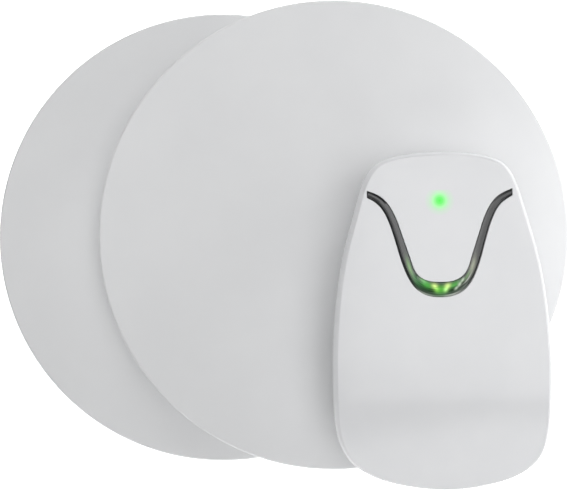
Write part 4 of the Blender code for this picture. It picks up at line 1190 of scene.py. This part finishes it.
CAMERA_PLACE = (0.02845, -0.00372, 0.339)  # from the middle of the rear pad's underside
FLOOR_GLOW = ((0.90, 0.90, 0.90), (0.50, 0.50, 0.505))
FLOOR_FADE = (0.20, 0.80)  # distances between which the floor's glow goes from one to the other
BACKDROP_REACH = 3.0
WORLD = (0.02, 0.02, 0.02)
LIGHTS = [
    # name, place, target, size, radiance
    ("overhead", (0.2775, -0.070, 0.66), (0.2775, -0.070, 0.0), (0.345, 0.42), 2.05),
    ("close_right", (0.28, 0.02, 0.11), (0.12, 0.0, 0.03), (0.30, 0.08), 3.8),
    ("foot_fill", (0.225, -0.50, 0.54), (0.09, -0.09, 0.045), (0.32, 0.20), 2.2),
    ("low_front", (0.10, -0.60, 0.15), (0.09, -0.09, 0.05), (0.90, 0.20), 3.5),
    ("back", (0.05, 0.60, 0.50), (0.05, 0.0, 0.03), (0.60, 0.40), 3.3),
    ("top_left", (-0.35, 0.05, 0.80), (0.0, 0.0, 0.0), (0.5, 0.6), 2.4),
    ("top", (-0.02, 0.10, 1.20), (0.0, 0.0, 0.0), (0.8, 0.8), 0.97),
]


def pale_paint(name):
    """The stage's matt near-white."""
    paint = Paint(name, 0.9)
    paint.set("Base Color", tinted(paint, (0.80, 0.80, 0.80), (0.82, 0.82, 0.82), 3))
    return paint


def add_floor():
    low = cad_box[0]
    form = bmesh.new()
    form.faces.new([form.verts.new((x, y, low.z - 0.0002)) for x, y in circle(BACKDROP_REACH, 96)])
    mesh = finished(form)
    paint = pale_paint("pale_floor")
    away = paint.span(paint.away_from_axis(), *FLOOR_FADE)
    near, far = FLOOR_GLOW
    paint.glow(paint.ramp(away, [(0.0, near), (1.0, far)], smooth=True))
    mesh.materials.append(paint.material)
    floor = new_object("floor", mesh)


def add_backdrop():
    """A pale wall round the floor, which only the camera sees."""
    low = cad_box[0].z - 0.01
    wall = lofted([[(x, y, z) for x, y in circle(BACKDROP_REACH, 96)] for z in (low, BACKDROP_REACH)])
    paint = pale_paint("pale_backdrop")
    paint.glow(paint.mix(paint.noise(1, 2.0), rgb(0.59, 0.59, 0.60), rgb(0.61, 0.61, 0.62)))
    wall.materials.append(paint.material)
    backdrop = new_object("backdrop", wall)
    backdrop.visible_diffuse = False
    backdrop.visible_glossy = False
    backdrop.visible_shadow = False


def add_light(name, place, target, size, radiance):
    """A rectangular soft light that faces target; size is (width, height)."""
    lamp = bpy.data.lights.new(name, "AREA")
    lamp.shape = "RECTANGLE"
    lamp.size, lamp.size_y = size
    lamp.energy = radiance * math.pi * size[0] * size[1]
    item = new_object(name, lamp)
    item.location = place
    direction = Vector(target) - Vector(place)
    item.rotation_mode = "QUATERNION"
    item.rotation_quaternion = direction.to_track_quat("-Z", "Y")
    item.visible_camera = False


def add_studio():
    scene = bpy.context.scene
    scene.view_settings.view_transform = "Standard"
    world = bpy.data.worlds.new("studio")
    world.use_nodes = True
    world.node_tree.nodes["Background"].inputs["Color"].default_value = rgb(*WORLD)
    scene.world = world
    for light in LIGHTS:
        add_light(*light)
    add_floor()
    add_backdrop()


def add_camera():
    low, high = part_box("rear_pad_cover")
    middle = (low + high) / 2
    data = bpy.data.cameras.new("camera")
    data.sensor_width = 36.0
    data.lens = 44.70
    data.clip_start = 0.01
    camera = new_object("camera", data)
    camera.location = (middle.x + CAMERA_PLACE[0], middle.y + CAMERA_PLACE[1], CAMERA_PLACE[2])
    bpy.context.scene.camera = camera


UNIT = unit_frame()


def main():
    materials = make_materials()
    for prefix in ("rear_pad", "front_pad"):
        add_pad(prefix, materials)
    add_unit(materials)
    finish_nodes(materials)
    add_studio()
    add_camera()


main()
